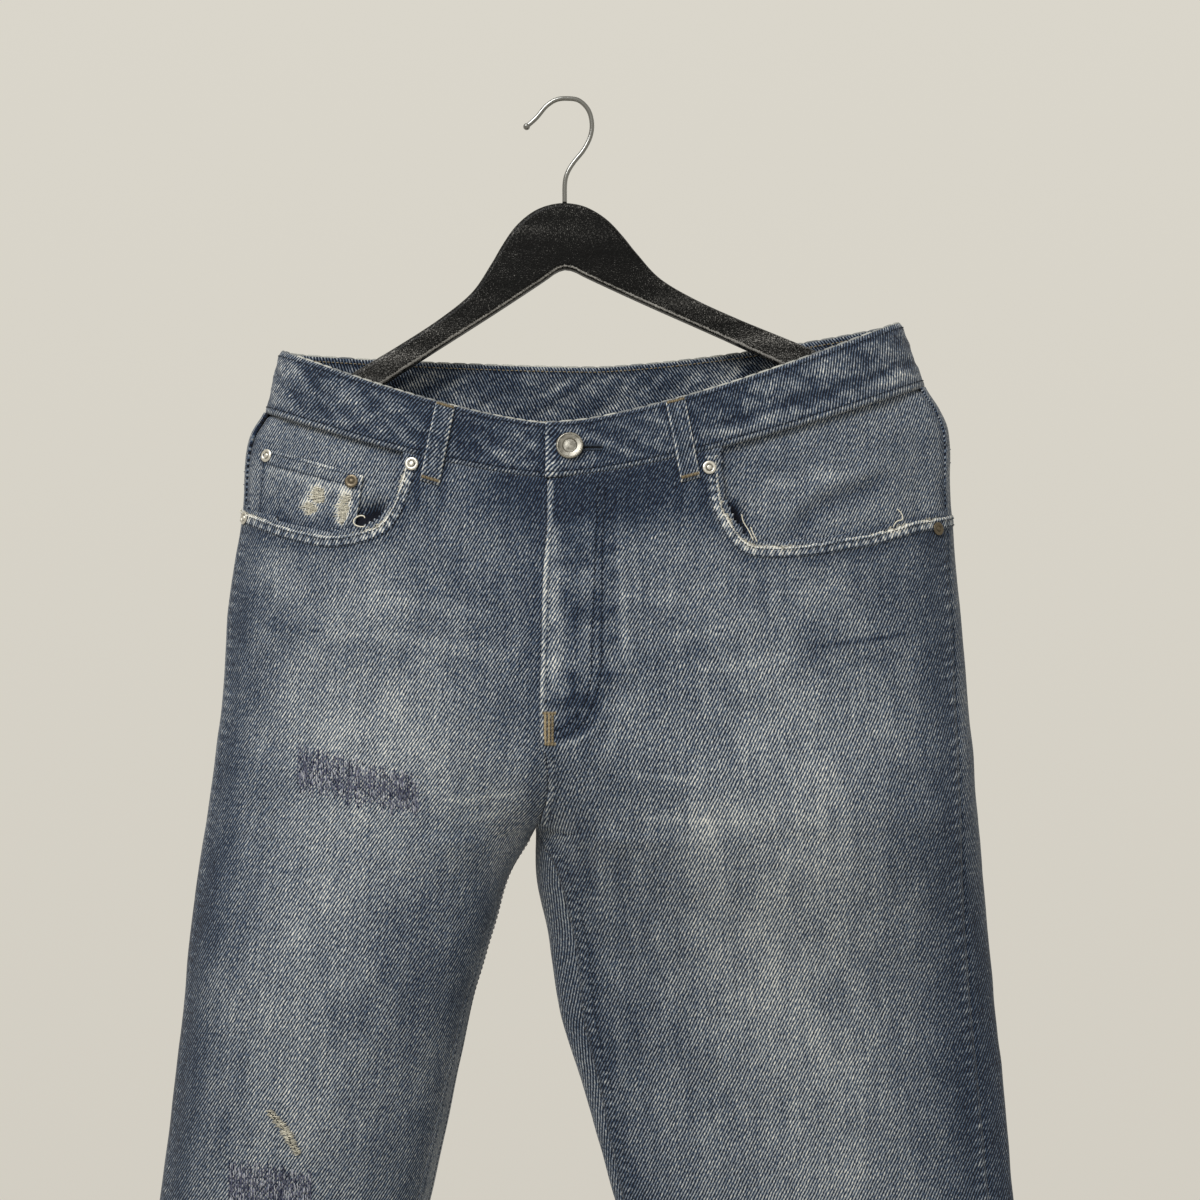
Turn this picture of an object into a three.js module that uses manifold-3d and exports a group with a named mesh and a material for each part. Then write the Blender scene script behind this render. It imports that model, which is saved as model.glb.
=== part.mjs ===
// Distressed denim jeans hanging from a black wooden clothes hanger.
//
// Units are millimetres and +Z is up. The origin is the inner top of the steel
// hook, where a nail or a rail holds it. +X runs to the wearer's left, and the
// front of the jeans faces -Y. Every cloth piece is a thin wall built on one set
// of level sections that run from the waist to the hems.
import * as THREE from 'three';
import { mergeVertices } from 'three/addons/utils/BufferGeometryUtils.js';
import Module from 'manifold-3d';

const wasm = await Module();
wasm.setup();

// ---- driving dimensions ----
const CLOTH = 2.0; // wall of a single denim panel
const BAND = 2.6; // folded waistband
const HEM = 3.0; // turned hem
const TRIM = 1.5; // pockets and loops
const GAP = 0.3; // between pieces that meet
const BAND_HEIGHT = 39.5;
const HEM_HEIGHT = 14;
const HEM_Z = -1290;
const CROTCH_Z = -492;
const CROTCH_RISE = 66; // height over which the seat seam turns under
const LOOP_WIDTH = 12.5;
const BUTTON_RADIUS = 8.8;
const RIVET_RADIUS = 4.5;
const WIRE_RADIUS = 1.6;
const HANGER_THICK = 12;
const HANGER_TILT = 4.3; // degrees, the wearer's left end is higher
const HANGER_APEX = [-1, -114];
const HANGER_REACH = 204; // from the middle to the end of an arm

const FRONT_COLUMNS = 13;
const BACK_COLUMNS = 16;
const COLUMNS = FRONT_COLUMNS + BACK_COLUMNS;
const TORSO_ROWS = 11;
const LEG_ROWS = 13;
const YOKE_ROWS = 2;

// ---- smooth curve through hand-set stations ----
// Stations are [z, value] from the top down, and values are held past the ends.
function through(stations) {
  const slopes = stations.map((_, i) => {
    const before = stations[Math.max(i - 1, 0)];
    const after = stations[Math.min(i + 1, stations.length - 1)];
    return (after[1] - before[1]) / (after[0] - before[0]);
  });
  return (z) => {
    if (z >= stations[0][0]) {
      return stations[0][1];
    }
    const last = stations.length - 1;
    if (z <= stations[last][0]) {
      return stations[last][1];
    }
    const i = stations.findIndex((station) => station[0] < z) - 1;
    const span = stations[i + 1][0] - stations[i][0];
    const t = (z - stations[i][0]) / span;
    const from = stations[i][1] * (1 + 2 * t) * (1 - t) ** 2 + slopes[i] * span * t * (1 - t) ** 2;
    const to = stations[i + 1][1] * t * t * (3 - 2 * t) - slopes[i + 1] * span * t * t * (1 - t);
    return from + to;
  };
}

const mix = (from, to, t) => from + (to - from) * t;

// ---- the hanging form ----
// side is -1 on the wearer's right and +1 on the wearer's left. The right leg
// hangs round, the left leg hangs flat and turned a little to the front.
const FORM = {
  right: {
    side: -1,
    bandTop: -171,
    bandSeam: -212.7,
    outer: through([
      [-171, -193], [-212, -203], [-228, -212], [-245, -216], [-280, -218], [-345, -226.5],
      [-415, -230], [-515, -242], [-635, -253], [-735, -266], [-857, -281], [-1007, -296], [-1290, -316],
    ]),
    inner: through([
      [-492, -20], [-522, -37], [-567, -49.5], [-607, -60.5], [-680, -75.5], [-735, -87.5],
      [-857, -111], [-1007, -130], [-1290, -152],
    ]),
    fold: through([[-492, -22], [-560, -34], [-735, -38], [-1000, -30], [-1290, -20]]),
    front: through([[-492, 54], [-560, 57], [-735, 55], [-1000, 45], [-1290, 42]]),
    back: through([[-492, 36], [-560, 44], [-735, 50], [-1000, 44], [-1290, 36]]),
    crease: through([[-540, 0], [-640, 26], [-800, 36], [-1100, 26], [-1290, 16]]),
    outseam: through([[-171, 3], [-735, 5], [-1290, 5]]),
    inseam: through([[-492, 0], [-570, 4], [-735, 8], [-1290, 8]]),
  },
  left: {
    side: 1,
    bandTop: -151.5,
    bandSeam: -195,
    outer: through([
      [-151, 226], [-195, 243], [-210, 252.5], [-226, 258.5], [-277, 259.5], [-345, 264.5],
      [-425, 270.5], [-530, 279], [-640, 291.5], [-743, 302.5], [-860, 314], [-1007, 325], [-1290, 340],
    ]),
    inner: through([
      [-492, -20], [-522, -20], [-542, -16.5], [-569, -11], [-621, -3.5], [-662, 9.5], [-743, 32],
      [-860, 66], [-1007, 102], [-1290, 145],
    ]),
    fold: through([[-492, -22], [-560, -14], [-640, -11], [-1000, -8], [-1290, -6]]),
    front: through([[-492, 54], [-540, 38], [-640, 24], [-1000, 19], [-1290, 18]]),
    back: through([[-492, 36], [-540, 26], [-640, 18], [-1000, 16], [-1290, 15]]),
    crease: () => 0,
    outseam: through([[-171, 4], [-275, 6], [-377, 10], [-518, 17], [-743, 19], [-1290, 18]]),
    inseam: through([[-500, 0], [-585, 11], [-640, 12], [-743, 8], [-1290, 7]]),
  },
};

// The middle of the torso, shared by both sides.
const TORSO = {
  frontTop: -224,
  frontSeam: -260,
  backTop: -179,
  backSeam: -218.5,
  frontLine: through([
    [-224, -9.5], [-260, -9.5], [-328, -12.8], [-412, -14.3], [-440, -11], [-465, -11], [-492, -20],
  ]),
  backLine: through([[-179, 18.5], [-219, 18.5], [-350, 4], [-440, -10], [-492, -20]]),
  fold: through([[-179, 0], [-250, -1], [-320, -6], [-400, -14], [-492, -22]]),
  front: through([[-224, 50], [-260, 56], [-320, 60], [-400, 60], [-492, 54]]),
  back: through([[-179, 18], [-250, 21], [-320, 27], [-400, 32], [-492, 36]]),
};

const FRONT_POWER = 2.25; // 2 is an ellipse and more is boxier
const BACK_POWER = 3.4;
const DRAPE = 1.42; // how the sagging front levels off towards the middle

const rounded = (value, power) => Math.sign(value) * Math.abs(value) ** (2 / power);

// One half of a section as [x, y, z] points: from the outer fold at angle 0 to the
// inner end, where the half-round closes by the angle that is left open.
function halfSection(level, isFront) {
  const power = isFront ? FRONT_POWER : BACK_POWER;
  const end = isFront ? level.frontEnd : level.backEnd;
  const reach = Math.abs(level.outer - end);
  const radius = reach / (1 + rounded(Math.cos(level.open), power));
  const centre = level.outer - level.side * radius;
  const steps = 160;
  const points = [];
  for (let i = 0; i <= steps; i += 1) {
    const angle = (i / steps) * (Math.PI - level.open);
    const x = centre + level.side * radius * rounded(Math.cos(angle), power);
    const across = Math.abs(x - level.outer) / reach;
    const depth = rounded(Math.sin(angle), power);
    const hollow = isFront ? 0 : level.crease * Math.exp(-(((across - 0.52) / 0.2) ** 2));
    const y = isFront ? level.fold - level.front * depth : level.fold + level.back * depth - hollow;
    const drop = 1 - (1 - Math.min(across, 1)) ** DRAPE;
    const z = mix(level.zSide, isFront ? level.zFront : level.zBack, drop);
    points.push(new THREE.Vector3(x, y, z));
  }
  return points;
}

function resample(points, count) {
  const lengths = [0];
  for (let i = 1; i < points.length; i += 1) {
    lengths.push(lengths[i - 1] + points[i].distanceTo(points[i - 1]));
  }
  const total = lengths[lengths.length - 1];
  const result = [];
  let at = 0;
  for (let k = 0; k <= count; k += 1) {
    const target = (total * k) / count;
    while (at < points.length - 2 && lengths[at + 1] < target) {
      at += 1;
    }
    const t = (target - lengths[at]) / (lengths[at + 1] - lengths[at]);
    result.push(points[at].clone().lerp(points[at + 1], Math.min(Math.max(t, 0), 1)));
  }
  return result;
}

// A row of ring points: inner front end, outseam, round the back, inner back end.
function ringRow(level) {
  const front = halfSection(level, true);
  const back = halfSection(level, false);
  const near = (point) => Math.abs(point.x - level.outer);
  const width = Math.abs(level.outer - level.frontEnd);
  const seamAt = front.findIndex((point) => near(point) >= level.outseam);
  let innerAt = front.length - 1;
  if (level.inseam > 0) {
    innerAt = front.findIndex((point) => near(point) >= width - level.inseam);
  }
  const panel = front.slice(seamAt, innerAt + 1).reverse();
  const outerWrap = front.slice(0, seamAt + 1).reverse();
  const innerWrap = front.slice(innerAt).reverse();
  const rear = [...outerWrap, ...back.slice(1), ...innerWrap.slice(1)];
  return [...resample(panel, FRONT_COLUMNS), ...resample(rear, BACK_COLUMNS).slice(1)];
}

function torsoLevel(form, sideZ, frontZ, backZ) {
  const turned = Math.min(Math.max((frontZ - CROTCH_Z) / CROTCH_RISE, 0), 1);
  return {
    side: form.side,
    outer: form.outer(sideZ),
    frontEnd: TORSO.frontLine(frontZ) + form.side * (GAP / 2),
    backEnd: TORSO.backLine(backZ) + form.side * (GAP / 2),
    open: Math.acos(1 - turned),
    fold: TORSO.fold(frontZ),
    front: TORSO.front(frontZ),
    back: TORSO.back(frontZ),
    crease: 0,
    outseam: form.outseam(sideZ),
    inseam: 0,
    zSide: sideZ,
    zFront: frontZ,
    zBack: backZ,
  };
}

function legLevel(form, z) {
  const inner = form.inner(z) + form.side * (GAP / 2);
  return {
    side: form.side,
    outer: form.outer(z),
    frontEnd: inner,
    backEnd: inner,
    open: 0,
    fold: form.fold(z),
    front: form.front(z),
    back: form.back(z),
    crease: form.crease(z),
    outseam: form.outseam(z),
    inseam: form.inseam(z),
    zSide: z,
    zFront: z,
    zBack: z,
  };
}

function clothRows(form) {
  const rows = [];
  for (let i = 0; i <= TORSO_ROWS; i += 1) {
    const t = i / TORSO_ROWS;
    const frontZ = mix(TORSO.frontSeam, CROTCH_Z, t);
    const backZ = mix(TORSO.backSeam, CROTCH_Z, t);
    rows.push(ringRow(torsoLevel(form, mix(form.bandSeam, CROTCH_Z, t), frontZ, backZ)));
  }
  for (let i = 1; i <= LEG_ROWS; i += 1) {
    const t = i / LEG_ROWS;
    const eased = 0.45 * t + 0.55 * t * t; // rows lie closer under the crotch
    rows.push(ringRow(legLevel(form, mix(CROTCH_Z, HEM_Z, eased))));
  }
  return rows;
}

function bandRows(form) {
  return [0, 0.5, 1].map((t) => {
    const sideZ = mix(form.bandTop, form.bandSeam + GAP, t);
    const frontZ = mix(TORSO.frontTop, TORSO.frontSeam + GAP, t);
    const backZ = mix(TORSO.backTop, TORSO.backSeam + GAP, t);
    return ringRow(torsoLevel(form, sideZ, frontZ, backZ));
  });
}

// Outward normals of a side's rows. Where the two sides meet down the middle, the
// neighbour across the seam is used, and below it the leg closes on itself.
function normalsOf(rows, mirrorRows, side, closedFrom) {
  return rows.map((row, i) => row.map((point, j) => {
    const above = rows[Math.max(i - 1, 0)][j];
    const below = rows[Math.min(i + 1, rows.length - 1)][j];
    const closed = i >= closedFrom;
    const last = row.length - 1;
    let before = row[Math.max(j - 1, 0)];
    let after = row[Math.min(j + 1, last)];
    if (j === 0) {
      before = closed ? row[last - 1] : mirrorRows[i][1];
    }
    if (j === last) {
      after = closed ? row[1] : mirrorRows[i][last - 1];
    }
    const across = after.clone().sub(before).normalize();
    const down = below.clone().sub(above).normalize();
    return across.cross(down).normalize().multiplyScalar(-side);
  }));
}

// ---- solids from grids ----
function geometryFrom(vertices, faces) {
  let volume = 0;
  for (const [a, b, c] of faces) {
    volume += vertices[a].dot(vertices[b].clone().cross(vertices[c]));
  }
  const turned = volume < 0 ? faces.map(([a, b, c]) => [a, c, b]) : faces;
  const geometry = new THREE.BufferGeometry();
  const flat = vertices.flatMap((v) => [v.x, v.y, v.z]);
  geometry.setAttribute('position', new THREE.Float32BufferAttribute(flat, 3));
  geometry.setIndex(turned.flat());
  return geometry;
}

// A closed wall between an outer and an inner grid. When closed is true the last
// column joins the first.
function wall(outer, inner, closed = false) {
  const rows = outer.length;
  const columns = outer[0].length;
  const vertices = [...outer.flat(), ...inner.flat()];
  const at = (i, j, layer) => layer * rows * columns + i * columns + (j % columns);
  const faces = [];
  const quad = (a, b, c, d) => {
    faces.push([a, b, c]);
    faces.push([a, c, d]);
  };
  const spans = closed ? columns : columns - 1;
  for (let j = 0; j < spans; j += 1) {
    for (let i = 0; i < rows - 1; i += 1) {
      quad(at(i, j, 0), at(i, j + 1, 0), at(i + 1, j + 1, 0), at(i + 1, j, 0));
      quad(at(i + 1, j, 1), at(i + 1, j + 1, 1), at(i, j + 1, 1), at(i, j, 1));
    }
    quad(at(0, j, 0), at(0, j, 1), at(0, j + 1, 1), at(0, j + 1, 0));
    quad(at(rows - 1, j, 0), at(rows - 1, j + 1, 0), at(rows - 1, j + 1, 1), at(rows - 1, j, 1));
  }
  if (!closed) {
    for (let i = 0; i < rows - 1; i += 1) {
      quad(at(i, 0, 0), at(i + 1, 0, 0), at(i + 1, 0, 1), at(i, 0, 1));
      const end = columns - 1;
      quad(at(i, end, 0), at(i, end, 1), at(i + 1, end, 1), at(i + 1, end, 0));
    }
  }
  return geometryFrom(vertices, faces);
}

function moved(points, normals, distance) {
  return points.map((row, i) => row.map((p, j) => p.clone().addScaledVector(normals[i][j], distance)));
}

// Pulls the first and last rows or columns in by half a seam gap.
function trimmed(points, { top, bottom, start, end }) {
  const grid = points.map((row) => row.map((p) => p.clone()));
  const rows = grid.length;
  const columns = grid[0].length;
  const pull = (p, towards) => p.addScaledVector(towards.clone().sub(p).normalize(), GAP / 2);
  for (let j = 0; j < columns; j += 1) {
    if (top) {
      pull(grid[0][j], points[1][j]);
    }
    if (bottom) {
      pull(grid[rows - 1][j], points[rows - 2][j]);
    }
  }
  for (let i = 0; i < rows; i += 1) {
    if (start) {
      pull(grid[i][0], points[i][1]);
    }
    if (end) {
      pull(grid[i][columns - 1], points[i][columns - 2]);
    }
  }
  return grid;
}

const block = (grid, i0, i1, j0, j1) => grid.slice(i0, i1 + 1).map((row) => row.slice(j0, j1 + 1));

function panelWall(cloth, range, thickness, edges, depth = 0) {
  const points = block(cloth.rows, ...range);
  const normals = block(cloth.normals, ...range);
  const outer = trimmed(moved(points, normals, -depth), edges);
  const inner = trimmed(moved(points, normals, -depth - thickness), edges);
  return wall(outer, inner);
}

// ---- booleans ----
function solidOf(geometry) {
  const bare = geometry.clone();
  bare.deleteAttribute('normal');
  bare.deleteAttribute('uv');
  const merged = mergeVertices(bare, 1e-4);
  return new wasm.Manifold(new wasm.Mesh({
    numProp: 3,
    vertProperties: new Float32Array(merged.attributes.position.array),
    triVerts: new Uint32Array(merged.index.array),
  }));
}

function geometryOf(solid) {
  const mesh = solid.getMesh();
  const geometry = new THREE.BufferGeometry();
  geometry.setAttribute('position', new THREE.BufferAttribute(mesh.vertProperties, 3));
  geometry.setIndex(new THREE.BufferAttribute(mesh.triVerts, 1));
  return geometry;
}

// A prism along Y from an outline of [x, z] points.
function prism(outline, fromY, toY) {
  const shape = new THREE.Shape(outline.map(([x, z]) => new THREE.Vector2(x, z)));
  const geometry = new THREE.ExtrudeGeometry(shape, { depth: toY - fromY, bevelEnabled: false });
  geometry.rotateX(Math.PI / 2);
  geometry.translate(0, toY, 0);
  return geometry;
}

// ---- placing on the cloth ----
// The point and normal of a cloth face at [x, z], on the front or on the back.
function onCloth(cloth, x, z, isFront) {
  const first = isFront ? 0 : FRONT_COLUMNS;
  const last = isFront ? FRONT_COLUMNS : COLUMNS;
  let best = null;
  for (let i = 0; i < cloth.rows.length - 1; i += 1) {
    for (let j = first; j < last; j += 1) {
      for (const corners of [[[i, j], [i, j + 1], [i + 1, j + 1]], [[i, j], [i + 1, j + 1], [i + 1, j]]]) {
        const [a, b, c] = corners.map(([r, k]) => cloth.rows[r][k]);
        const area = (b.x - a.x) * (c.z - a.z) - (c.x - a.x) * (b.z - a.z);
        const v = ((x - a.x) * (c.z - a.z) - (c.x - a.x) * (z - a.z)) / area;
        const w = ((b.x - a.x) * (z - a.z) - (x - a.x) * (b.z - a.z)) / area;
        const normal = new THREE.Vector3();
        [1 - v - w, v, w].forEach((share, k) => {
          normal.addScaledVector(cloth.normals[corners[k][0]][corners[k][1]], share);
        });
        const outside = Math.max(-v, -w, v + w - 1, 0);
        const facing = isFront ? normal.y < 0 : normal.y > 0;
        if (facing && (best === null || outside < best.outside)) {
          const y = a.y * (1 - v - w) + b.y * v + c.y * w;
          best = { outside, point: new THREE.Vector3(x, y, z), normal: normal.normalize() };
        }
      }
    }
  }
  return best;
}

// A patch of cloth whose four corners are [x, z] pairs: top left, top right, bottom
// left and bottom right.
function patch(cloth, corners, steps, lift, thickness, isFront = true) {
  const [topLeft, topRight, lowLeft, lowRight] = corners;
  const points = [];
  const normals = [];
  for (let i = 0; i <= steps[1]; i += 1) {
    points.push([]);
    normals.push([]);
    for (let j = 0; j <= steps[0]; j += 1) {
      const s = j / steps[0];
      const t = i / steps[1];
      const x = mix(mix(topLeft[0], topRight[0], s), mix(lowLeft[0], lowRight[0], s), t);
      const z = mix(mix(topLeft[1], topRight[1], s), mix(lowLeft[1], lowRight[1], s), t);
      const found = onCloth(cloth, x, z, isFront);
      points[i].push(found.point);
      normals[i].push(found.normal);
    }
  }
  return wall(moved(points, normals, lift + thickness), moved(points, normals, lift));
}

// A turned piece of hardware standing on the cloth with its axis along the normal.
function stud(cloth, x, z, profile, lift) {
  const geometry = new THREE.LatheGeometry(profile.map(([r, h]) => new THREE.Vector2(r, h)), 20);
  const spot = onCloth(cloth, x, z, true);
  const turn = new THREE.Quaternion().setFromUnitVectors(new THREE.Vector3(0, 1, 0), spot.normal);
  geometry.applyQuaternion(turn);
  const at = spot.point.clone().addScaledVector(spot.normal, lift);
  geometry.translate(at.x, at.y, at.z);
  return geometry;
}

// ---- materials ----
function finish(color, roughness, metalness = 0) {
  return new THREE.MeshStandardMaterial({ color, roughness, metalness });
}
const DENIM = () => finish(0x6c7680, 0.92);
const DARK_DENIM = () => finish(0x4b5766, 0.92);
const STAINED_WOOD = () => finish(0x24221f, 0.45);
const STEEL = () => finish(0xc8c8c6, 0.25, 1);
const SILVER = () => finish(0x9a9890, 0.4, 1);
const BRONZE = () => finish(0x5a5348, 0.5, 1);

const group = new THREE.Group();
function add(name, geometry, material) {
  const mesh = new THREE.Mesh(geometry, material);
  mesh.name = name;
  group.add(mesh);
  return mesh;
}

// ---- cloth of both sides ----
const cloth = {};
const bands = {};
for (const name of ['right', 'left']) {
  cloth[name] = { rows: clothRows(FORM[name]) };
  bands[name] = { rows: bandRows(FORM[name]) };
}
for (const [name, other] of [['right', 'left'], ['left', 'right']]) {
  const { side } = FORM[name];
  cloth[name].normals = normalsOf(cloth[name].rows, cloth[other].rows, side, TORSO_ROWS);
  bands[name].normals = normalsOf(bands[name].rows, bands[other].rows, side, Infinity);
}

// ---- pocket openings, [x, z] from the side seam round to the waist seam ----
const OPENINGS = {
  right: [
    [-219, -279], [-198, -285.5], [-176, -293], [-155, -297], [-137, -295], [-121, -290.5],
    [-112.6, -281], [-107.5, -268], [-104.5, -256], [-101, -240],
  ],
  left: [
    [262, -283], [231, -287], [200, -296], [164, -302], [143, -304], [124, -303.5],
    [113.5, -298], [106, -288], [101.5, -275], [99.5, -262], [97, -240],
  ],
};

function openingShape(name, grow) {
  const { side } = FORM[name];
  const edge = OPENINGS[name].map(([x, z]) => {
    const inner = Math.abs(x) < 130 ? 1 : 0;
    return [x - side * grow * inner, z - grow];
  });
  const last = edge[edge.length - 1];
  return [[side * 300, edge[0][1] - 1], ...edge, [last[0], -150], [side * 300, -150]];
}

const frontRange = [0, TORSO_ROWS + LEG_ROWS, 0, FRONT_COLUMNS];
const backRange = [YOKE_ROWS, TORSO_ROWS + LEG_ROWS, FRONT_COLUMNS, COLUMNS];
const yokeRange = [0, YOKE_ROWS, FRONT_COLUMNS, COLUMNS];
const FACING_DEPTH = CLOTH + TRIM + 2 * GAP;
const SEWN = { top: true, start: true, end: true };

// The hem takes the foot of each leg, so the panels stop above it.
const hemTop = HEM_Z + HEM_HEIGHT;
const aboveHem = solidOf(prism([[-500, hemTop], [500, hemTop], [500, 0], [-500, 0]], -300, 300));

for (const name of ['right', 'left']) {
  const whole = solidOf(panelWall(cloth[name], frontRange, CLOTH, SEWN));
  const opening = solidOf(prism(openingShape(name, 0), -200, 100));
  add(`front_${name}`, geometryOf(whole.subtract(opening).intersect(aboveHem)), DENIM());

  const back = solidOf(panelWall(cloth[name], backRange, CLOTH, SEWN));
  add(`back_${name}`, geometryOf(back.intersect(aboveHem)), DENIM());
  add(`yoke_${name}`, panelWall(cloth[name], yokeRange, CLOTH, { ...SEWN, bottom: true }), DENIM());

  const facing = panelWall(cloth[name], [0, 5, 2, FRONT_COLUMNS], TRIM, SEWN, FACING_DEPTH);
  const wider = solidOf(prism(openingShape(name, 16), -200, 100));
  add(`pocket_facing_${name}`, geometryOf(solidOf(facing).intersect(wider)), DENIM());
}

// ---- waistband: one strip that meets itself at the front ----
function waistband() {
  const strip = (grids) => grids[0].map((_, i) => {
    const right = grids[0][i];
    const left = [...grids[1][i]].reverse();
    return [...right, ...left.slice(1)];
  });
  const outer = strip([bands.right.rows, bands.left.rows]);
  const normals = strip([bands.right.normals, bands.left.normals]);
  return wall(outer, moved(outer, normals, -BAND));
}
add('waistband', waistband(), DARK_DENIM());

// ---- hems: a closed ring at the foot of each leg ----
function hem(name) {
  const form = FORM[name];
  const levels = [HEM_Z + HEM_HEIGHT - 2 * GAP, HEM_Z].map((z) => ringRow(legLevel(form, z)).slice(0, -1));
  const closing = levels.map((row) => [...row, row[0]]);
  const normals = normalsOf(closing, closing, form.side, 0).map((row) => row.slice(0, -1));
  return wall(moved(levels, normals, 0.4), moved(levels, normals, 0.4 - HEM), true);
}
add('hem_right', hem('right'), DARK_DENIM());
add('hem_left', hem('left'), DARK_DENIM());

// ---- coin pocket behind the right opening ----
const COIN = [[-201, -243], [-131, -258], [-206, -312], [-140, -318]];
add('coin_pocket', patch(cloth.right, COIN, [5, 4], -CLOTH - TRIM - 0.1, TRIM - 0.5), DENIM());

// ---- back pockets ----
const BACK_POCKETS = {
  right: [[-166, -282], [-24, -290], [-152, -436], [-36, -442]],
  left: [[52, -290], [206, -278], [66, -442], [192, -434]],
};
for (const name of ['right', 'left']) {
  add(`back_pocket_${name}`, patch(cloth[name], BACK_POCKETS[name], [9, 7], 0.9, TRIM, false), DENIM());
}

// ---- belt loops: a strip from the band's top edge to just under its seam ----
function beltLoop(name, topX, lowX, isFront) {
  const band = bands[name];
  const whole = {
    rows: [...band.rows, ...cloth[name].rows.slice(1, 3)],
    normals: [...band.normals, ...cloth[name].normals.slice(1, 3)],
  };
  const half = LOOP_WIDTH / 2;
  const edgeZ = (row, x) => {
    const near = row.slice(isFront ? 0 : FRONT_COLUMNS, isFront ? FRONT_COLUMNS : COLUMNS + 1);
    return near.reduce((a, b) => (Math.abs(b.x - x) < Math.abs(a.x - x) ? b : a)).z;
  };
  const top = edgeZ(band.rows[0], topX) + 0.5;
  const low = edgeZ(band.rows[2], lowX) - 15;
  const corners = [[topX - half, top], [topX + half, top], [lowX - half, low], [lowX + half, low]];
  return patch(whole, corners, [2, 7], 0.8, TRIM, isFront);
}
add('belt_loop_front_right', beltLoop('right', -77, -87, true), DENIM());
add('belt_loop_front_left', beltLoop('left', 71.5, 81.5, true), DENIM());
add('belt_loop_back_right', beltLoop('right', -110, -114, false), DENIM());
add('belt_loop_back_left', beltLoop('left', 148, 152, false), DENIM());
add('belt_loop_back', beltLoop('left', 25.5, 25.5, false), DENIM());

// ---- button and rivets ----
const BUTTON_PROFILE = [
  [0, 0], [BUTTON_RADIUS - 1.5, 0], [BUTTON_RADIUS, 1], [BUTTON_RADIUS, 2.6], [BUTTON_RADIUS - 0.8, 3.4],
  [BUTTON_RADIUS - 2, 3], [2.6, 2.6], [1.8, 1.6], [0, 1.6],
];
const RIVET_PROFILE = [
  [0, 0], [RIVET_RADIUS - 0.4, 0], [RIVET_RADIUS, 0.5], [RIVET_RADIUS - 0.6, 1.3], [2.4, 1.7],
  [1.5, 0.9], [0, 0.9],
];
add('waist_button', stud(bands.left, 3.5, -240, BUTTON_PROFILE, 0.4), SILVER());
const RIVETS = {
  rivet_right_outer: ['right', -199, -243, -FACING_DEPTH + TRIM + GAP + 0.2],
  rivet_right_inner: ['right', -98.8, -251, 0.4],
  rivet_coin: ['right', -139, -261.5, -CLOTH - GAP],
  rivet_right_seam: ['right', -213, -284.5, 0.9],
  rivet_left_inner: ['left', 93.6, -253.5, 0.4],
  rivet_left_seam: ['left', 246, -292, 0.8],
};
for (const [name, [side, x, z, lift]] of Object.entries(RIVETS)) {
  const dark = name === 'rivet_coin' || name === 'rivet_left_seam';
  add(name, stud(cloth[side], x, z, RIVET_PROFILE, lift), dark ? BRONZE() : SILVER());
}

// ---- hanger body: a bowed board with a flat lower V ----
// The outline is [x, z] from the middle of the top out along an arm, with the
// lower V's apex at the origin, before it is tilted.
function hangerBody() {
  const top = [
    [0, 44], [12, 42.2], [22, 37.6], [32, 29.6], [41, 18.5], [50, 5.5], [64, -12], [86, -27.5],
    [115, -43.5], [152, -62], [180, -76.5], [HANGER_REACH - 12, -83],
  ];
  const end = [[HANGER_REACH - 3, -89], [HANGER_REACH, -96], [HANGER_REACH - 3, -102.5]];
  const low = [
    [HANGER_REACH - 11, -105], [150, -81.5], [100, -54], [52, -28.2], [16, -8.2], [6, -2.2], [0, -0.6],
  ];
  const half = [...top, ...end, ...low];
  const mirrored = half.slice(1, -1).reverse().map(([x, z]) => [-x, z]);
  const shape = new THREE.Shape([...half, ...mirrored].map(([x, z]) => new THREE.Vector2(x, z)));
  const bevel = 1.6;
  const geometry = new THREE.ExtrudeGeometry(shape, {
    depth: HANGER_THICK - 2 * bevel,
    bevelEnabled: true,
    bevelThickness: bevel,
    bevelSize: bevel,
    bevelOffset: -bevel,
    bevelSegments: 2,
  });
  geometry.translate(0, 0, bevel - HANGER_THICK / 2);
  geometry.rotateX(Math.PI / 2);
  geometry.rotateY(-THREE.MathUtils.degToRad(HANGER_TILT));
  geometry.translate(HANGER_APEX[0], 0, HANGER_APEX[1]);
  return geometry;
}
add('hanger_body', hangerBody(), STAINED_WOOD());

// ---- swivel hook: bent steel wire with a ball on its free end ----
function hangerHook() {
  const route = [
    [-26.5, -17.2], [-20, -11.3], [-13.6, -3.7], [-7, 0.6], [0, 1.6], [8.6, 0.3], [15.1, -6.2],
    [17.5, -15.2], [16.4, -24.3], [11.8, -33.5], [5.5, -41.3], [1.2, -48.2], [-0.8, -55.6], [-1, -69.6],
  ];
  const curve = new THREE.CatmullRomCurve3(route.map(([x, z]) => new THREE.Vector3(x, 0, z)));
  const circle = new THREE.Shape();
  circle.absarc(0, 0, WIRE_RADIUS, 0, 2 * Math.PI);
  const wire = new THREE.ExtrudeGeometry(circle, {
    steps: 40,
    curveSegments: 8,
    extrudePath: curve,
    bevelEnabled: false,
  });
  const ball = new THREE.SphereGeometry(2.3, 10, 8);
  ball.translate(-26.8, 0, -17.5);
  return geometryOf(solidOf(wire).add(solidOf(ball)));
}
add('hanger_hook', hangerHook(), STEEL());

export default group;
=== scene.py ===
"""Worn denim jeans hanging from a black wooden hanger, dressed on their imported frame.

The garment is sewn from fine cloth shells on one set of level sections, the same form
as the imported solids. Sizes are in millimetres until a mesh is made, and then in metres.
+Z is up, +X runs to the wearer's left and the front of the jeans faces -Y.
"""
import logging
import math
from dataclasses import dataclass, field
from enum import Enum

import bpy
import numpy as np
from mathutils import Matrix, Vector
from mathutils.kdtree import KDTree


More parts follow.
